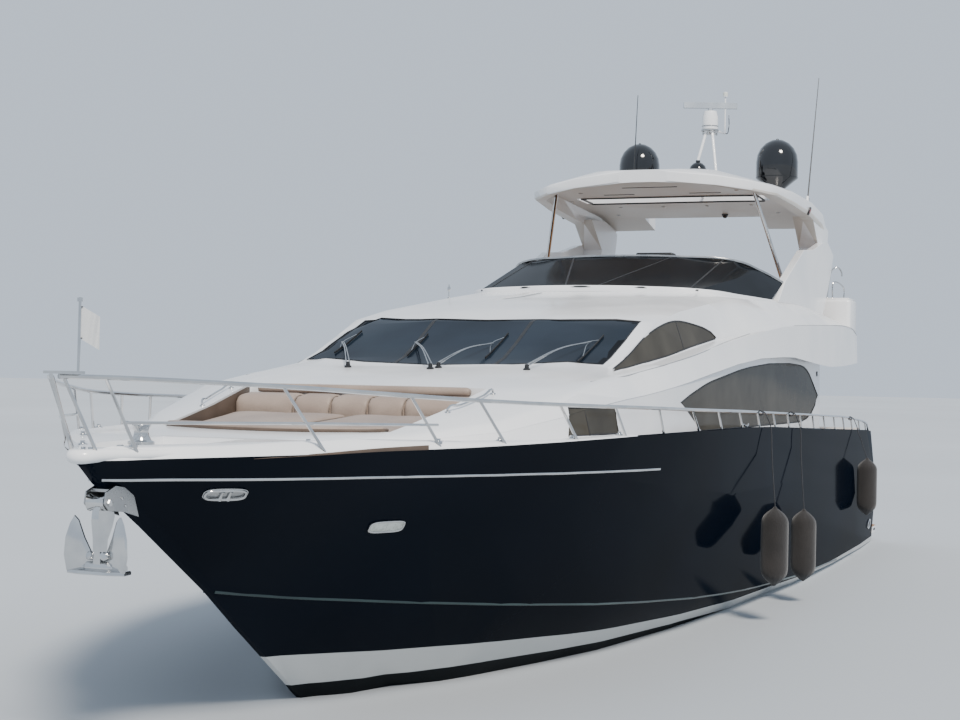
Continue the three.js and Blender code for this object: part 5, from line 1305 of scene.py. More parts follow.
bar(black_parts, [over_roof(BOARD_X, -0.3, 0.12), over_roof(BOARD_X, -0.05, 0.34),
                  over_roof(BOARD_X, 0.22, 0.14), over_roof(BOARD_X, 0.66, 0.06)], 0.015)
piece("roof_instruments", black_parts, "black_gelcoat")
turned(white_parts, [(0.150, 7.985), (0.158, 7.99), (0.158, 8.0), (0.150, 8.005), (0.150, 7.985)],
       (RADAR_X, 0, 0), steps=28)
piece("pedestal_band", white_parts, "brushed_stainless")
POLE_X, POLE_Y = -8.555, 0.158
bar(light_parts, [(POLE_X, POLE_Y, 7.95), (POLE_X, POLE_Y + 0.04, 7.93), (POLE_X, POLE_Y + 0.07, 8.0),
                  (POLE_X, POLE_Y + 0.075, 8.28)], 0.008, facets=2)
turned(light_parts, [(0.0, 8.43), (0.03, 8.43), (0.035, 8.47), (0.03, 8.5), (0, 8.5)], (POLE_X, POLE_Y, 0),
       steps=14)
piece("pole_fittings", light_parts, "black_nylon")
lantern = bmesh.new()
turned(lantern, [(0, 8.655), (0.047, 8.655), (0.047, 8.72), (0.03, 8.735), (0, 8.738)], (POLE_X, POLE_Y, 0),
       steps=18)
piece("masthead_light", lantern, "frosted_lens")

# %% [markdown]
# A dome is moulded in two halves that meet in a flange, and a drain plug caps it. The whip
# aerials stand in white ferrules.

# %% Domes and aerials
flanges, ferrules = bmesh.new(), bmesh.new()
DOME_X, DOME_Y, DOME_TOP, DOME_RADIUS = -7.83, 1.32, 7.68, 0.385
for _, side in SIDES:
    turned(flanges, [(DOME_RADIUS - 0.02, 6.955), (DOME_RADIUS + 0.004, 6.96), (DOME_RADIUS + 0.005, 6.972),
                     (DOME_RADIUS - 0.02, 6.98), (DOME_RADIUS - 0.02, 6.955)], (DOME_X, side * DOME_Y, 0),
           steps=48)
    turned(flanges, [(0, DOME_TOP - 0.012), (0.03, DOME_TOP - 0.012), (0.02, DOME_TOP + 0.012),
                     (0, DOME_TOP + 0.016)], (DOME_X, side * DOME_Y, 0), steps=12)
piece("dome_flanges", flanges, "black_gelcoat")
WHIPS = (((-7.42, 1.95, 6.3), (-8.15, 2.01, 8.85)), ((-7.11, -1.25, 6.5), (-7.52, -1.29, 8.56)))
for foot, head in WHIPS:
    upward = (Vector(head) - Vector(foot)).normalized()
    seat = over_roof(foot[0], foot[1])
    turned(ferrules, [(0, -0.02), (0.05, -0.02), (0.05, 0.02), (0.036, 0.05), (0.032, 0.16), (0.024, 0.24),
                      (0, 0.24)], seat, axis=upward, steps=16)
piece("aerial_ferrules", ferrules, "white_abs")

# %% [markdown]
# The anchor hangs below the stem in its roller: a cranked shank, a crown bar with two
# pivot bosses, and two pointed flukes that spread like wings. The parts are cast and
# polished, so each outline is pushed up to its thickness and given rounded edges.

# %% Anchor and roller
ANCHOR_X, CROWN_Z, CROWN_HALF = 12.1, 1.59, 0.24
UPRIGHT = Matrix(((1, 0, 0), (0, 0, -1), (0, 1, 0)))
SHANK = ((12.17, 2.03), (12.14, 2.08), (12.06, 2.09), (11.98, 2.05), (11.95, 1.98), (11.98, 1.9),
         (12.04, 1.8), (12.06, 1.6), (12.14, 1.6), (12.155, 1.82), (12.18, 1.95))
FLUKE = ((0.03, 0.0), (0.27, -0.02), (0.295, 0.1), (0.285, 0.24), (0.25, 0.35), (0.215, 0.41),
         (0.18, 0.375), (0.13, 0.24), (0.06, 0.1))
cast = bmesh.new()
plate(cast, SHANK[::-1], 0.07, turn=UPRIGHT, at=(0, 0.035, 0), rounding=0.014)
turned(cast, [(0, -CROWN_HALF), (0.03, -CROWN_HALF), (0.034, -0.12), (0.05, -0.1), (0.05, 0.1),
              (0.034, 0.12), (0.03, CROWN_HALF), (0, CROWN_HALF)], (ANCHOR_X, 0, CROWN_Z), axis=(0, 1, 0),
       steps=20)
plate(cast, [(-0.08, -0.24), (0.05, -0.26), (0.1, -0.12), (0.1, 0.12), (0.05, 0.26), (-0.08, 0.24),
             (-0.07, 0)], 0.03, at=(ANCHOR_X, 0, CROWN_Z - 0.05), rounding=0.01)
for _, side in SIDES:
    upended = Matrix(((0, 0, 1), (side, 0, 0), (0, 1, 0)))
    spread = Matrix.Rotation(math.radians(-16 * side), 3, "Z") @ upended
    wing = bmesh.new()
    plate(wing, FLUKE, 0.024, at=(0, 0, -0.012), rounding=0.008)
    bmesh.ops.recalc_face_normals(wing, faces=wing.faces)
    root = Matrix.Translation((ANCHOR_X - 0.02, 0, CROWN_Z - 0.01))
    bmesh.ops.transform(wing, matrix=root @ spread.to_4x4(), verts=wing.verts)
    mesh = turned_to_mesh(wing, "wing")
    cast.from_mesh(mesh)
    bpy.data.meshes.remove(mesh)
    turned(cast, [(0, 0), (0.034, 0), (0.034, 0.05), (0.02, 0.06), (0, 0.06)],
           (ANCHOR_X, side * 0.05, CROWN_Z + 0.085), axis=(0.9, side * 0.4, 0.2), steps=16)
piece("bow_anchor", cast, "polished_stainless", stands_for=["anchor"])

ROLLER_X, ROLLER_Z = 12.12, 2.095
roller = bmesh.new()
turned(roller, [(0, -0.08), (0.07, -0.08), (0.05, -0.04), (0.044, 0), (0.05, 0.04), (0.07, 0.08),
                (0, 0.08)], (ROLLER_X, 0, ROLLER_Z), axis=(0, 1, 0), steps=24)
for _, side in SIDES:
    turned(roller, [(0, 0), (0.03, 0), (0.028, 0.014), (0, 0.018)], (ROLLER_X, side * 0.095, ROLLER_Z),
           axis=(0, side, 0), steps=6)
    for x, z in ((11.95, 2.12), (11.9, 2.06)):
        turned(roller, [(0, 0), (0.014, 0), (0.012, 0.008), (0, 0.01)], (x, side * 0.095, z),
               axis=(0, side, 0), steps=12)
piece("roller_wheel", roller, "polished_stainless")

# %% [markdown]
# Seats are boxes of gelcoat with loose cushions on top. Each seat is given as its boxes:
# the hard ones become one rounded base, and the soft ones are cut into lengths light enough
# to lift, with a finger's breadth between them.

# %% Seats
GAP, SOFT_SWELL = 0.012, 0.016


def lengths(low, high, axis, count):
    """A box cut into equal lengths along an axis, a gap apart."""
    step = (high[axis] - low[axis]) / count
    for each in range(count):
        start, end = list(low), list(high)
        start[axis] = low[axis] + each * step
        end[axis] = start[axis] + step
        yield [value + GAP for value in start], [value - GAP for value in end]


def upholstered(name, node_name, bases, soft, finish_name="cream_vinyl"):
    """A seat: rounded bases that stand for the node, and cushions cut from soft boxes."""
    hard = bmesh.new()
    for low, high in bases:
        block(hard, low, high, 0.02)
    piece(f"{name}_base", hard, "white_gelcoat", stands_for=[node_name])
    number = 0
    for low, high, axis, count in soft:
        for start, end in lengths(low, high, axis, count):
            number += 1
            pad = bmesh.new()
            block(pad, start, end, 0.032, segments=3)
            cushion(f"{name}_cushion_{number}", pad, finish_name, swell=SOFT_SWELL)


FLY = 3.845
upholstered("helm_chair", "helm_seat",
            [((-3.42, 0.03, FLY), (-3.22, 0.77, 4.23)),
             ((-3.54, -0.04, 4.19), (-3.08, 0.84, 4.235)),
             ((-3.66, -0.04, 4.25), (-3.62, 0.84, 4.84))],
            [((-3.53, -0.06, 4.235), (-3.06, 0.86, 4.345), 1, 2),
             ((-3.63, -0.06, 4.31), (-3.53, 0.86, 4.86), 1, 2)])
upholstered("dinette", "flybridge_settee",
            [((-7.7, -2.12, FLY), (-7.17, 1.5, 4.15)),
             ((-7.18, -2.12, FLY), (-5.0, -1.58, 4.15)),
             ((-7.9, -2.12, FLY), (-7.86, 1.5, 4.6)),
             ((-7.7, -2.17, FLY), (-5.0, -2.14, 4.41))],
            [((-7.7, -2.12, 4.15), (-7.15, 1.5, 4.27), 1, 4),
             ((-7.15, -2.08, 4.15), (-5.0, -1.56, 4.27), 0, 2),
             ((-7.87, -2.06, 4.27), (-7.69, 1.5, 4.64), 1, 4),
             ((-7.68, -2.15, 4.27), (-5.0, -2.06, 4.43), 0, 3)])
upholstered("stern_bench", "cockpit_bench",
            [((-10.9, -1.45, 1.755), (-10.37, 1.45, 2.08)),
             ((-11.0, -1.45, 1.96), (-10.96, 1.45, 2.58))],
            [((-10.9, -1.45, 2.08), (-10.35, 1.45, 2.2), 1, 3),
             ((-10.97, -1.45, 2.2), (-10.86, 1.45, 2.6), 1, 3)])

# %% [markdown]
# The helm has a black dash with four round dials and a screen, and a pair of throttle
# levers. A hood sits over its forward edge and shows above the screen from outside. The
# dash slopes, so its fittings are drawn flat and laid on it by one matrix.

# %% Helm
dash, dials, levers, glass = bmesh.new(), bmesh.new(), bmesh.new(), bmesh.new()
DASH_MIDDLE = Vector((-2.435, 0.4, 4.925))
DASH_OUT, DASH_UP = Vector((-0.852, 0, 0.523)), Vector((0.523, 0, 0.852))


def on_dash(across, up, lift=0.0):
    """A point of the sloping dash: metres to port and up from its middle."""
    return DASH_MIDDLE + Vector((0, across, 0)) + DASH_UP * up + DASH_OUT * lift


lay_dash = Matrix((Vector((0, -1, 0)), DASH_UP, DASH_OUT)).transposed()
plate(dash, oval(0.46, 0.14, count=36, power=0.35), 0.014, turn=lay_dash, at=on_dash(0, 0.02, 0.0),
      rounding=0.005)
block(dash, (-2.52, 0.2, 5.03), (-2.27, 0.8, 5.155), 0.03)
piece("helm_dash", dash, "black_nylon")
plate(glass, oval(0.14, 0.09, count=32, power=0.3), 0.006, turn=lay_dash, at=on_dash(0.0, 0.03, 0.013),
      rounding=0.002)
for across in (-0.33, -0.22, 0.22, 0.33):
    plate(glass, oval(0.042, 0.042, count=24, power=1), 0.005, turn=lay_dash,
          at=on_dash(across, 0.04, 0.013))
    bar(dials, [on_dash(across + 0.044 * c, 0.04 + 0.044 * s, 0.015) for c, s in circle(16)], 0.005,
        closed=True, facets=1)
piece("helm_screens", glass, "smoked_acrylic")
piece("dial_rims", dials, "polished_stainless")
for across in (-0.46, -0.4):
    foot = Vector((-2.42, 0.4 + across, 4.98))
    bar(levers, [foot, foot + Vector((-0.02, 0, 0.09)), foot + Vector((-0.05, 0, 0.13))], 0.008)
    turned(levers, [(0, -0.02), (0.014, -0.016), (0.018, 0), (0.014, 0.016), (0, 0.02)],
           foot + Vector((-0.055, 0, 0.135)), steps=14)
block(levers, (-2.5, -0.09, 4.9), (-2.35, 0.03, 4.985), 0.015)
piece("throttle_levers", levers, "polished_stainless")

# %% [markdown]
# At the after end of the upper deck stands a white locker for the grill and its sink,
# with steel hand rails and a hooked post on top, and a rail closes the deck's after edge.

# %% Locker on the upper deck
locker, steel = bmesh.new(), bmesh.new()
LOCKER_LOW, LOCKER_HIGH = Vector((-8.95, 1.98, 3.85)), Vector((-8.15, 2.66, 4.74))
block(locker, LOCKER_LOW, LOCKER_HIGH, 0.07, segments=4)
block(locker, (-8.92, 1.99, 4.72), (-8.18, 2.63, 4.76), 0.015)
piece("grill_locker", locker, "white_gelcoat")
LOCKER_TOP, RAIL_X = 4.75, -9.165
bar(steel, [(-8.35, 2.3, LOCKER_TOP), (-8.35, 2.3, 5.02), (-8.38, 2.31, 5.06), (-8.8, 2.42, 5.0),
            (-8.84, 2.43, 4.96), (-8.84, 2.43, LOCKER_TOP)], 0.014)
bar(steel, [(-8.3, 2.12, LOCKER_TOP), (-8.3, 2.12, 4.96), (-8.3, 1.62, 4.96), (-8.3, 1.62, 3.85)], 0.012,
    curved=False)
bar(steel, [(-8.32, 2.2, LOCKER_TOP), (-8.32, 2.24, 5.1), (-8.33, 2.3, 5.3), (-8.36, 2.38, 5.33),
            (-8.4, 2.44, 5.27), (-8.41, 2.46, 5.17)], 0.015)
for x, y in ((-8.35, 2.3), (-8.84, 2.43), (-8.3, 2.12), (-8.32, 2.2)):
    turned(steel, [(0, 0), (0.034, 0), (0.03, 0.012), (0.014, 0.016), (0, 0.016)],
           (x, y, LOCKER_TOP + 0.006), steps=14)
block(steel, (-8.55, 1.971, 4.3), (-8.42, 1.982, 4.32), 0.004)
piece("locker_rails", steel, "polished_stainless")
after_rail = bmesh.new()
AFTER_RAIL = [(-9.1, 2.3, 4.0), (-9.12, 2.24, 4.45), (-9.15, 1.9, 4.5), (-9.17, 0.8, 4.5), (-9.17, 0, 4.5)]
bar(after_rail, both_sides(AFTER_RAIL), 0.018)
for y in (-1.5, -0.75, 0, 0.75, 1.5):
    bar(after_rail, [(RAIL_X, y, 3.86), (RAIL_X, y, 4.49)], 0.014, curved=False)
    turned(after_rail, [(0, 0), (0.036, 0), (0.032, 0.01), (0.016, 0.014), (0, 0.014)], (RAIL_X, y, 3.843),
           steps=14)
piece("upper_after_rail", after_rail, "polished_stainless")

# %% [markdown]
# The joints between the mouldings show as fine grey lines of painted shade, the shadow line
# that falls along each. One follows the top edge of the long side overhang, and a softer one
# runs forward along the coachroof. Both are laid on the surface by rays from abeam, because
# their height is known from the side.

# %% Painted shadow lines at the moulding joints
OVERHANG = ((-1.7, 3.97), (-2.6, 4.035), (-4.2, 4.1), (-5.5, 4.15), (-6.9, 4.19), (-8.0, 4.17),
            (-8.9, 4.085))
CREASE = ((6.04, 3.11), (5.2, 3.17), (4.49, 3.24), (3.2, 3.39), (2.2, 3.52), (1.22, 3.66), (0.5, 3.75),
          (-0.18, 3.83))
FLY_TREE = tree_of("flybridge")
# Painted shade: grey bars for the shadow lines along the joints
seams = bmesh.new()
for _, side in SIDES:
    for tree, row in ((FLY_TREE, OVERHANG), (HOUSE_TREE, CREASE)):
        found = [on_side(tree, x, z, side, 0.001) for x, z in row]
        found = [point for point in found if point]
        if len(found) > 2:
            bar(seams, found, 0.005, facets=1)
piece("painted_shadow_lines", seams, "sealant_and_shadow_grey")

# %% [markdown]
# Along each toe of the foredeck lies a brown wedge, a point ahead of the windlass that
# widens as it runs aft. It is a flat bar whose taper grows from point to point.

# %% Toe wedges
WEDGE_LINE = ((11.26, 0.88, 2.432), (10.805, 1.245, 2.466), (10.305, 1.563, 2.498), (9.84, 1.806, 2.512))
wedges = bmesh.new()
for _, side in SIDES:
    bar(wedges, [(x, side * y, z) for x, y, z in WEDGE_LINE], 0.005, wide=0.032, facets=1,
        taper=[0.06, 0.4, 0.75, 1])
piece("toe_wedges", wedges, "brown_trim_and_painted_shade")

# %% [markdown]
# Deck hardware is cast and polished: horned cleats amidships and on the quarters, and an
# upright windlass before the anchor locker with a chain stopper and a hawse ring. A cleat's
# horns are a bar that tapers to both ends and rises a little.

# %% Deck hardware
DECK_TREE = tree_of("superstructure", "foredeck", "hull", "bulwark_port", "bulwark_starboard", "main_deck")
AMIDSHIPS, QUARTER, CLEAT_SIZE = (2.1, 2.93), (-10.2, 2.62), 0.13
hardware = bmesh.new()


def cleat(shape, x, y, along, size=CLEAT_SIZE):
    """A horned cleat on the surface below a point, its horns along a direction."""
    seat = on_top(DECK_TREE, x, y)
    along = Vector(along).normalized()
    for sign in (1, -1):
        foot = seat + along * sign * size * 0.35
        turned(shape, [(0, -0.004), (0.034, -0.004), (0.03, 0.008), (0.016, 0.014), (0.015, 0.06),
                       (0, 0.06)], foot, steps=14)
    line = [seat + along * size * share + Vector((0, 0, 0.062 + 0.022 * abs(share) ** 2))
            for share in (-1.15, -0.6, 0, 0.6, 1.15)]
    bar(shape, line, 0.017, taper=[0.5, 1, 1.1, 1, 0.5])


for _, side in SIDES:
    cleat(hardware, AMIDSHIPS[0], side * AMIDSHIPS[1], (1, 0, 0))
    cleat(hardware, QUARTER[0], side * QUARTER[1], (1, 0.05 * side, 0))
WELL_Z, WINDLASS_X, HAWSE_X = 2.441, 11.54, 11.93
turned(hardware, [(0, 0), (0.13, 0), (0.13, 0.03), (0.1, 0.045), (0.085, 0.05), (0.085, 0.07), (0.11, 0.09),
                  (0.11, 0.11), (0.08, 0.125), (0.062, 0.16), (0.06, 0.2), (0.078, 0.245), (0.07, 0.26),
                  (0, 0.265)], (WINDLASS_X, 0, WELL_Z), steps=32)
turned(hardware, [(0.05, -0.004), (0.085, -0.004), (0.08, 0.012), (0.055, 0.016), (0.05, -0.004)],
       (HAWSE_X, 0, WELL_Z), steps=24)
block(hardware, (11.71, -0.045, WELL_Z), (11.81, 0.045, WELL_Z + 0.06), 0.012)
for _, side in SIDES:
    block(hardware, (11.72, side * 0.055 - 0.01, WELL_Z), (11.8, side * 0.055 + 0.01, WELL_Z + 0.09), 0.006)
piece("deck_hardware", hardware, "polished_stainless")

# %% [markdown]
# The lid of the anchor locker has three flush latches and a lifting ring. They are given
# the lid's own body, so that they swing up with it.

# %% Locker lid fittings
lid_parts = bmesh.new()
LID_TOP, LID_FRONT, LID_BACK = 2.468, 11.3, 10.8
for x, y in ((LID_FRONT, 0), (LID_BACK, 0.18), (LID_BACK, -0.18)):
    turned(lid_parts, [(0, 0), (0.036, 0), (0.034, 0.004), (0.02, 0.004), (0.018, 0.002), (0, 0.002)],
           (x, y, LID_TOP), steps=20)
bar(lid_parts, [(LID_FRONT + 0.024 * c, 0.024 * s, LID_TOP + 0.006) for c, s in circle(12)], 0.003,
    closed=True, facets=1)
piece("locker_lid_latches", lid_parts, "polished_stainless", body="anchor_locker_lid")

# %% [markdown]
# Lamps: a red and a green side light in the shoulders of the roof, a slim post with a
# lamp on the brow, a fine grey line of painted shade in the groove of a flush hatch grip
# beside it, and a stern light.

# %% Lamps
housings, white_lenses, grip_groove_shade, posts = bmesh.new(), bmesh.new(), bmesh.new(), bmesh.new()
# Acrylic lenses, moulded and dyed through: a clear gloss over a deep colour
finish("red_lens", ("#7a1512", "#8a1c18"), 0.15, 0.05, 0.004, 0.0006, IOR=1.58)
finish("green_lens", ("#0f5a2c", "#156a36"), 0.15, 0.05, 0.004, 0.0006, IOR=1.58)
for label, side in SIDES:
    shoulder = on_side(ROOF_TREE, -6.02, 6.15, side)
    turned(housings, [(0, -0.01), (0.075, -0.01), (0.072, 0.012), (0.05, 0.016), (0, 0.014)], shoulder,
           axis=(0, side, -0.35), steps=24)
    lens = bmesh.new()
    turned(lens, [(0, 0.01), (0.046, 0.012), (0.04, 0.02), (0, 0.024)], shoulder, axis=(0, side, -0.35),
           steps=20)
    piece(f"side_light_{label}", lens, "red_lens" if side > 0 else "green_lens")
    mark = on_side(HOUSE_TREE, -6.35, 3.33, side)
    if mark:
        block(housings, mark - Vector((0.05, 0.012, 0.045)), mark + Vector((0.05, 0.012, 0.045)), 0.01)
stern_seat = Vector((-9.18, 0, 3.8))
block(housings, stern_seat - Vector((0.02, 0.06, 0.04)), stern_seat + Vector((0.01, 0.06, 0.04)), 0.01)
piece("lamp_housings", housings, "black_nylon")
turned(white_lenses, [(0, 0), (0.03, 0), (0.026, 0.014), (0, 0.016)], stern_seat - Vector((0.018, 0, 0)),
       axis=(-1, 0, 0), steps=16)
piece("lamp_glasses", white_lenses, "frosted_lens")
# A grey bar of painted shade in the groove of the hatch grip
GRIP = ((0.15, -0.51), (0.55, -0.52), (1.05, -0.55), (1.35, -0.66))
bar(grip_groove_shade, [on_top(HOUSE_TREE, x, y) + Vector((0, 0, 0.004)) for x, y in GRIP], 0.008,
    taper=[0.4, 1, 1, 0.4], facets=1)
piece("hatch_grip_shade", grip_groove_shade, "sealant_and_shadow_grey", "gelcoat")
turned(posts, [(0, -0.004), (0.024, -0.004), (0.022, 0.01), (0.009, 0.016), (0.008, 0.1), (0.02, 0.108),
               (0.024, 0.135), (0.02, 0.16), (0.008, 0.168), (0.006, 0.2), (0, 0.202)],
       on_top(HOUSE_TREE, 0.8, -1.7), steps=16)
piece("brow_light", posts, "polished_stainless")

# %% [markdown]
# A small plain pennant hangs from the jackstaff in light air. It is one sheet: the fly
# falls away from the staff with three soft folds, cut to 170 by 250 mm.

# %% Pennant
FLAG_LONG, FLAG_HIGH, STAFF_TOP = 0.17, 0.25, Vector((12.584, 0.11, 3.6))
FLAG_COLUMNS, FLAG_ROWS, DROOP = 24, 14, math.radians(30)
FOLD_DEEP, TAKEN_UP = 0.012, 0.93
flag = bmesh.new()
bmesh.ops.create_grid(flag, x_segments=FLAG_COLUMNS, y_segments=FLAG_ROWS, size=0.5)
for vert in flag.verts:
    u, v = vert.co.x + 0.5, vert.co.y + 0.5
    fold = FOLD_DEEP * u * math.sin(11 * u + 2.2 * v)
    reach = FLAG_LONG * u * TAKEN_UP
    vert.co = STAFF_TOP + Vector((-reach * math.cos(DROOP) * 0.55 + fold,
                                  reach * math.cos(DROOP) * 0.83 + fold * 0.7 + 0.006,
                                  -reach * math.sin(DROOP) - FLAG_HIGH * v))
pennant = piece("pennant", flag, "pennant_cloth", corner=math.radians(180))
toggles = bmesh.new()
for drop in (0.008, FLAG_HIGH - 0.008):
    bar(toggles, [STAFF_TOP + Vector((0.014 * c, 0.014 * s, -drop)) for c, s in circle(10)], 0.004,
        closed=True, facets=1)
piece("pennant_rings", toggles, "black_nylon")

# %% [markdown]
# The saloon doors have brushed frames and a long pull. The frame of each leaf is laid on
# the face that looks away from the other leaf, so the sliding leaf still passes. The
# gates get a latch, and the garage lid a handle and the groove of its seal, each on its
# own body.

# %% Doors and gates
FRAME_WIDE, FRAME_DEEP = 0.05, 0.004


def leaf_frame(shape, low, high, outside):
    """Four flat bars round a leaf that stands across the boat."""
    face_x = low[0] if outside < 0 else high[0]
    x0, x1 = sorted((face_x + outside * FRAME_DEEP, face_x - outside * 0.001))
    y0, y1, z0, z1 = low[1] + 0.004, high[1] - 0.004, low[2] + 0.004, high[2] - 0.004
    for near, far in (((y0, z0), (y0 + FRAME_WIDE, z1)), ((y1 - FRAME_WIDE, z0), (y1, z1)),
                      ((y0, z0), (y1, z0 + FRAME_WIDE)), ((y0, z1 - FRAME_WIDE), (y1, z1))):
        block(shape, (x0, near[0], near[1]), (x1, far[0], far[1]), 0.001, segments=1)


for label, node_name, outside, body in (("fixed", "saloon_door_fixed", 1, "yacht"),
                                        ("sliding", "saloon_door_sliding", -1, "saloon_door")):
    low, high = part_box(node_name)
    doors = bmesh.new()
    leaf_frame(doors, low, high, outside)
    if body == "saloon_door":
        y = high[1] - 0.1
        bar(doors, [(low[0], y, 2.45), (low[0] - 0.04, y, 2.47), (low[0] - 0.04, y, 3.03),
                    (low[0], y, 3.05)], 0.01)
    piece(f"{label}_door_frame", doors, "brushed_stainless", body=body)

for label, side in SIDES:
    low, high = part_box(f"stern_gate_{label}")
    latch = bmesh.new()
    inner = low[1] if side > 0 else high[1]
    y = inner + side * 0.08
    block(latch, (high[0], y - 0.02, 2.12), (high[0] + 0.006, y + 0.02, 2.2), 0.002)
    bar(latch, [(high[0] + 0.004, y, 2.17), (high[0] + 0.03, y, 2.17),
                (high[0] + 0.032, y + side * 0.07, 2.165)], 0.006)
    piece(f"gate_latch_{label}", latch, "polished_stainless", body=f"stern_gate_{label}")

GARAGE_TREE = tree_of("garage_door")


def on_lid(y, z, lift=0.0):
    """The point of the garage lid seen from astern, lifted off along its normal."""
    place, normal, _, _ = GARAGE_TREE.ray_cast(Vector((-13, y, z)), Vector((1, 0, 0)))
    return place + normal * lift


HANDLE_Z = 0.52
GROOVE = ((-1.32, 0.45), (1.32, 0.45), (1.32, 1.44), (-1.32, 1.44))
lid_steel = bmesh.new()
GRASP = ((-0.22, -0.002), (-0.2, 0.035), (0.2, 0.035), (0.22, -0.002))
bar(lid_steel, [on_lid(y, HANDLE_Z, lift) for y, lift in GRASP], 0.012)
piece("garage_handle", lid_steel, "polished_stainless", body="garage_door")
groove = bmesh.new()
bar(groove, [on_lid(y, z) for y, z in GROOVE], 0.004, closed=True, curved=False, facets=1)
piece("garage_lid_groove", groove, "sealant_and_shadow_grey", body="garage_door")

# %% [markdown]
# Round the stern: an oval exhaust outlet in each quarter, a rubber strip and staple rails
# on the bathing platform, a folded ladder under it, and lamps below the waterline.

# %% Stern fittings
EXHAUST, EXHAUST_HALF = (-10.6, 0.42), (0.17, 0.085)
STAPLE_X, STAPLE_Y, PLATFORM_Z, STAPLE_TOP = -12.02, (2.3, 1.7), 0.3, 0.62
stern_steel, stern_rubber = bmesh.new(), bmesh.new()
for _, side in SIDES:
    spot = on_side(HULL_TREE, *EXHAUST, side)
    ring = [on_side(HULL_TREE, spot.x + EXHAUST_HALF[0] * c, spot.z + EXHAUST_HALF[1] * s, side, 0.004)
            for c, s in circle(24)]
    bar(stern_steel, ring, 0.014, closed=True)
    throat = bmesh.ops.create_circle(stern_rubber, cap_ends=True, segments=24, radius=1)["verts"]
    for vert, point in zip(throat, ring):
        vert.co = on_side(HULL_TREE, point.x, point.z, side, 0.002)
    outer, nearer = (side * y for y in STAPLE_Y)
    bar(stern_steel, [(STAPLE_X, outer, PLATFORM_Z), (STAPLE_X, outer, STAPLE_TOP),
                      (STAPLE_X, nearer, STAPLE_TOP), (STAPLE_X, nearer, PLATFORM_Z)], 0.016, curved=False)
    for y in (outer, nearer):
        turned(stern_steel, [(0, 0), (0.035, 0), (0.03, 0.01), (0.018, 0.014), (0, 0.014)],
               (STAPLE_X, y, PLATFORM_Z), steps=14)
bmesh.ops.solidify(stern_rubber, geom=stern_rubber.faces[:], thickness=0.003)
EDGE = [(-11.5, 2.67), (-11.84, 2.67), (-12.02, 2.625), (-12.13, 2.49), (-12.178, 2.3), (-12.178, 1.2),
        (-12.178, 0)]
bar(stern_rubber, both_sides([(x, y, 0.235) for x, y in EDGE]), 0.009, wide=0.03, facets=2)
piece("platform_strip", stern_rubber, "black_rubber")
for y in (-0.22, 0.22):
    bar(stern_steel, [(-11.65, y, 0.14), (-12.1, y, 0.14), (-12.14, y, 0.155)], 0.015, curved=False)
for x in (-11.75, -11.87, -11.99):
    block(stern_steel, (x - 0.025, -0.22, 0.125), (x + 0.025, 0.22, 0.15), 0.006)
piece("stern_steel", stern_steel, "polished_stainless")
lamps = bmesh.new()
for y in (-2.2, -1.2, 1.2, 2.2):
    turned(lamps, [(0, 0), (0.06, 0), (0.055, 0.012), (0.03, 0.018), (0, 0.018)], (-11.5, y, -0.22),
           axis=(-1, 0, 0), steps=20)
piece("underwater_lamps", lamps, "cast_bronze")

# %% [markdown]
# Below and inside: each diesel gets two rows of valve covers with an intake between them,
# exhaust pipes with an elbow, a round belt guard and rubber mounts, and each shaft gets two
# collars. The engines only show from inside the hull, so their shapes stay simple.

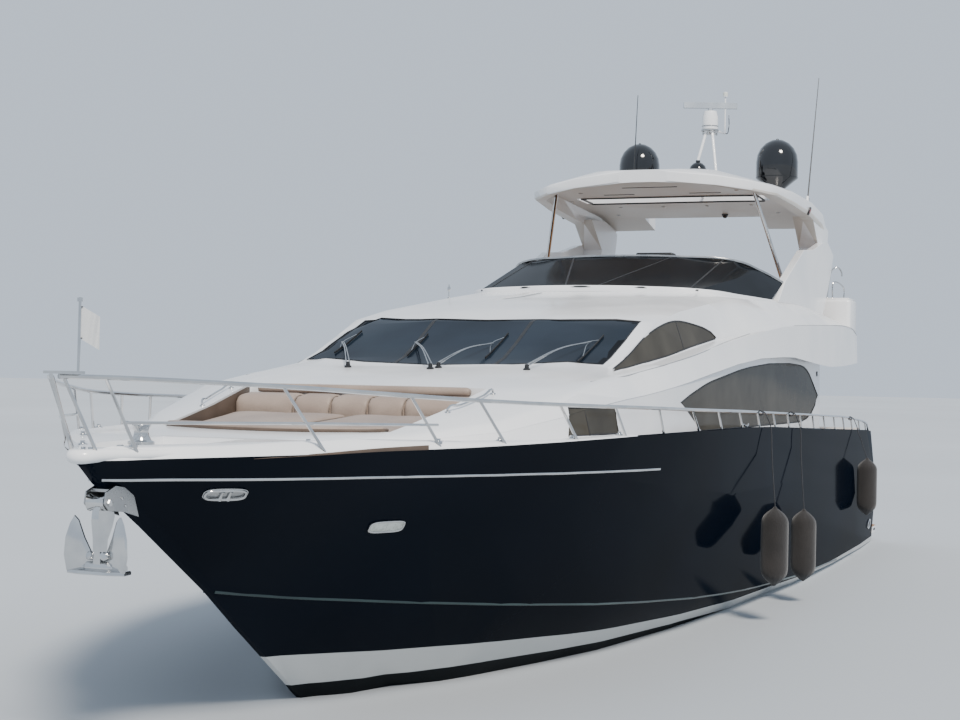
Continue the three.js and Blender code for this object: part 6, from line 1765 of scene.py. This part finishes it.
# %% Engines and shafts
SHAFT_AFT, SHAFT_LOW, SHAFT_RISE, SHAFT_OUT, ENGINE_OUT = -9.661, -1.048, 0.49 / 2.568, 1.15, 0.92
covers, pipes, mounts = bmesh.new(), bmesh.new(), bmesh.new()
for _, side in SIDES:
    middle = side * ENGINE_OUT
    for offset in (-0.24, 0.24):
        for number in range(6):
            x = -7.55 + number * 0.3
            block(covers, (x - 0.125, middle + offset - 0.13, 0.94),
                  (x + 0.125, middle + offset + 0.13, 1.06), 0.03)
        bar(pipes, [(-7.7, middle + offset * 1.9, 0.72), (-6.1, middle + offset * 1.9, 0.72)], 0.06,
            curved=False)
    block(covers, (-7.6, middle - 0.09, 0.95), (-6.0, middle + 0.09, 1.14), 0.03)
    bar(pipes, [(-7.7, middle, 0.9), (-8.0, middle, 1.12), (-8.2, middle, 1.0), (-8.25, middle, 0.6)], 0.09)
    turned(pipes, [(0, 0), (0.12, 0), (0.14, 0.05), (0.14, 0.32), (0.1, 0.36), (0, 0.36)],
           (-5.98, middle, 1.1), axis=(1, 0, 0), steps=24)
    for x in (-7.8, -6.0):
        for offset in (-0.46, 0.46):
            turned(mounts, [(0, -0.02), (0.08, -0.02), (0.07, 0.05), (0.04, 0.08), (0, 0.08)],
                   (x, middle + offset, -0.26), steps=16)
    for x in (-9.3, -8.0):
        y, z = side * SHAFT_OUT, SHAFT_LOW + (x - SHAFT_AFT) * SHAFT_RISE
        turned(mounts, [(0.04, -0.04), (0.066, -0.03), (0.066, 0.03), (0.04, 0.04), (0.04, -0.04)],
               (x, y, z), axis=(1, 0, 0.2), steps=20)
piece("valve_covers", covers, "engine_enamel")
piece("engine_pipes", pipes, "brushed_stainless")
piece("engine_mounts", mounts, "black_rubber")

# %% [markdown]
# The picture is taken in soft daylight on a pale floor at the waterline. A sun high over
# the port bow models the white forms, and a pale surround fills the shadows.

# %% Floor and light
FLOOR_HALF, SURROUND_POWER = 600, 1.1
ground = bmesh.new()
bmesh.ops.create_grid(ground, x_segments=1, y_segments=1, size=FLOOR_HALF)
floor = bpy.data.objects.new("floor", turned_to_mesh(ground, "floor"))
floor.data.materials.append(finish("studio_floor", ("#b4bac0", "#bbc1c7"), 0.8, 30, 2, 0.001, IOR=1.2))
bpy.context.scene.collection.objects.link(floor)

surround = bpy.data.worlds.new("surround")
surround.use_nodes = True
bpy.context.scene.world = surround
backdrop = surround.node_tree.nodes["Background"]
backdrop.inputs["Color"].default_value = linear("#cfdcec")
backdrop.inputs["Strength"].default_value = SURROUND_POWER

SUN_FROM, SUN_POWER, SUN_SPREAD = Vector((0.55, 0.42, 0.72)), 4.3, 0.25
sun = bpy.data.objects.new("sun", bpy.data.lights.new("sun", "SUN"))
sun.data.energy = SUN_POWER
sun.data.angle = SUN_SPREAD
sun.data.color = linear("#fff6ea")[:3]
sun.rotation_euler = SUN_FROM.to_track_quat("Z", "Y").to_euler()
bpy.context.scene.collection.objects.link(sun)
print("a floor of", 2 * FLOOR_HALF, "m and one sun")
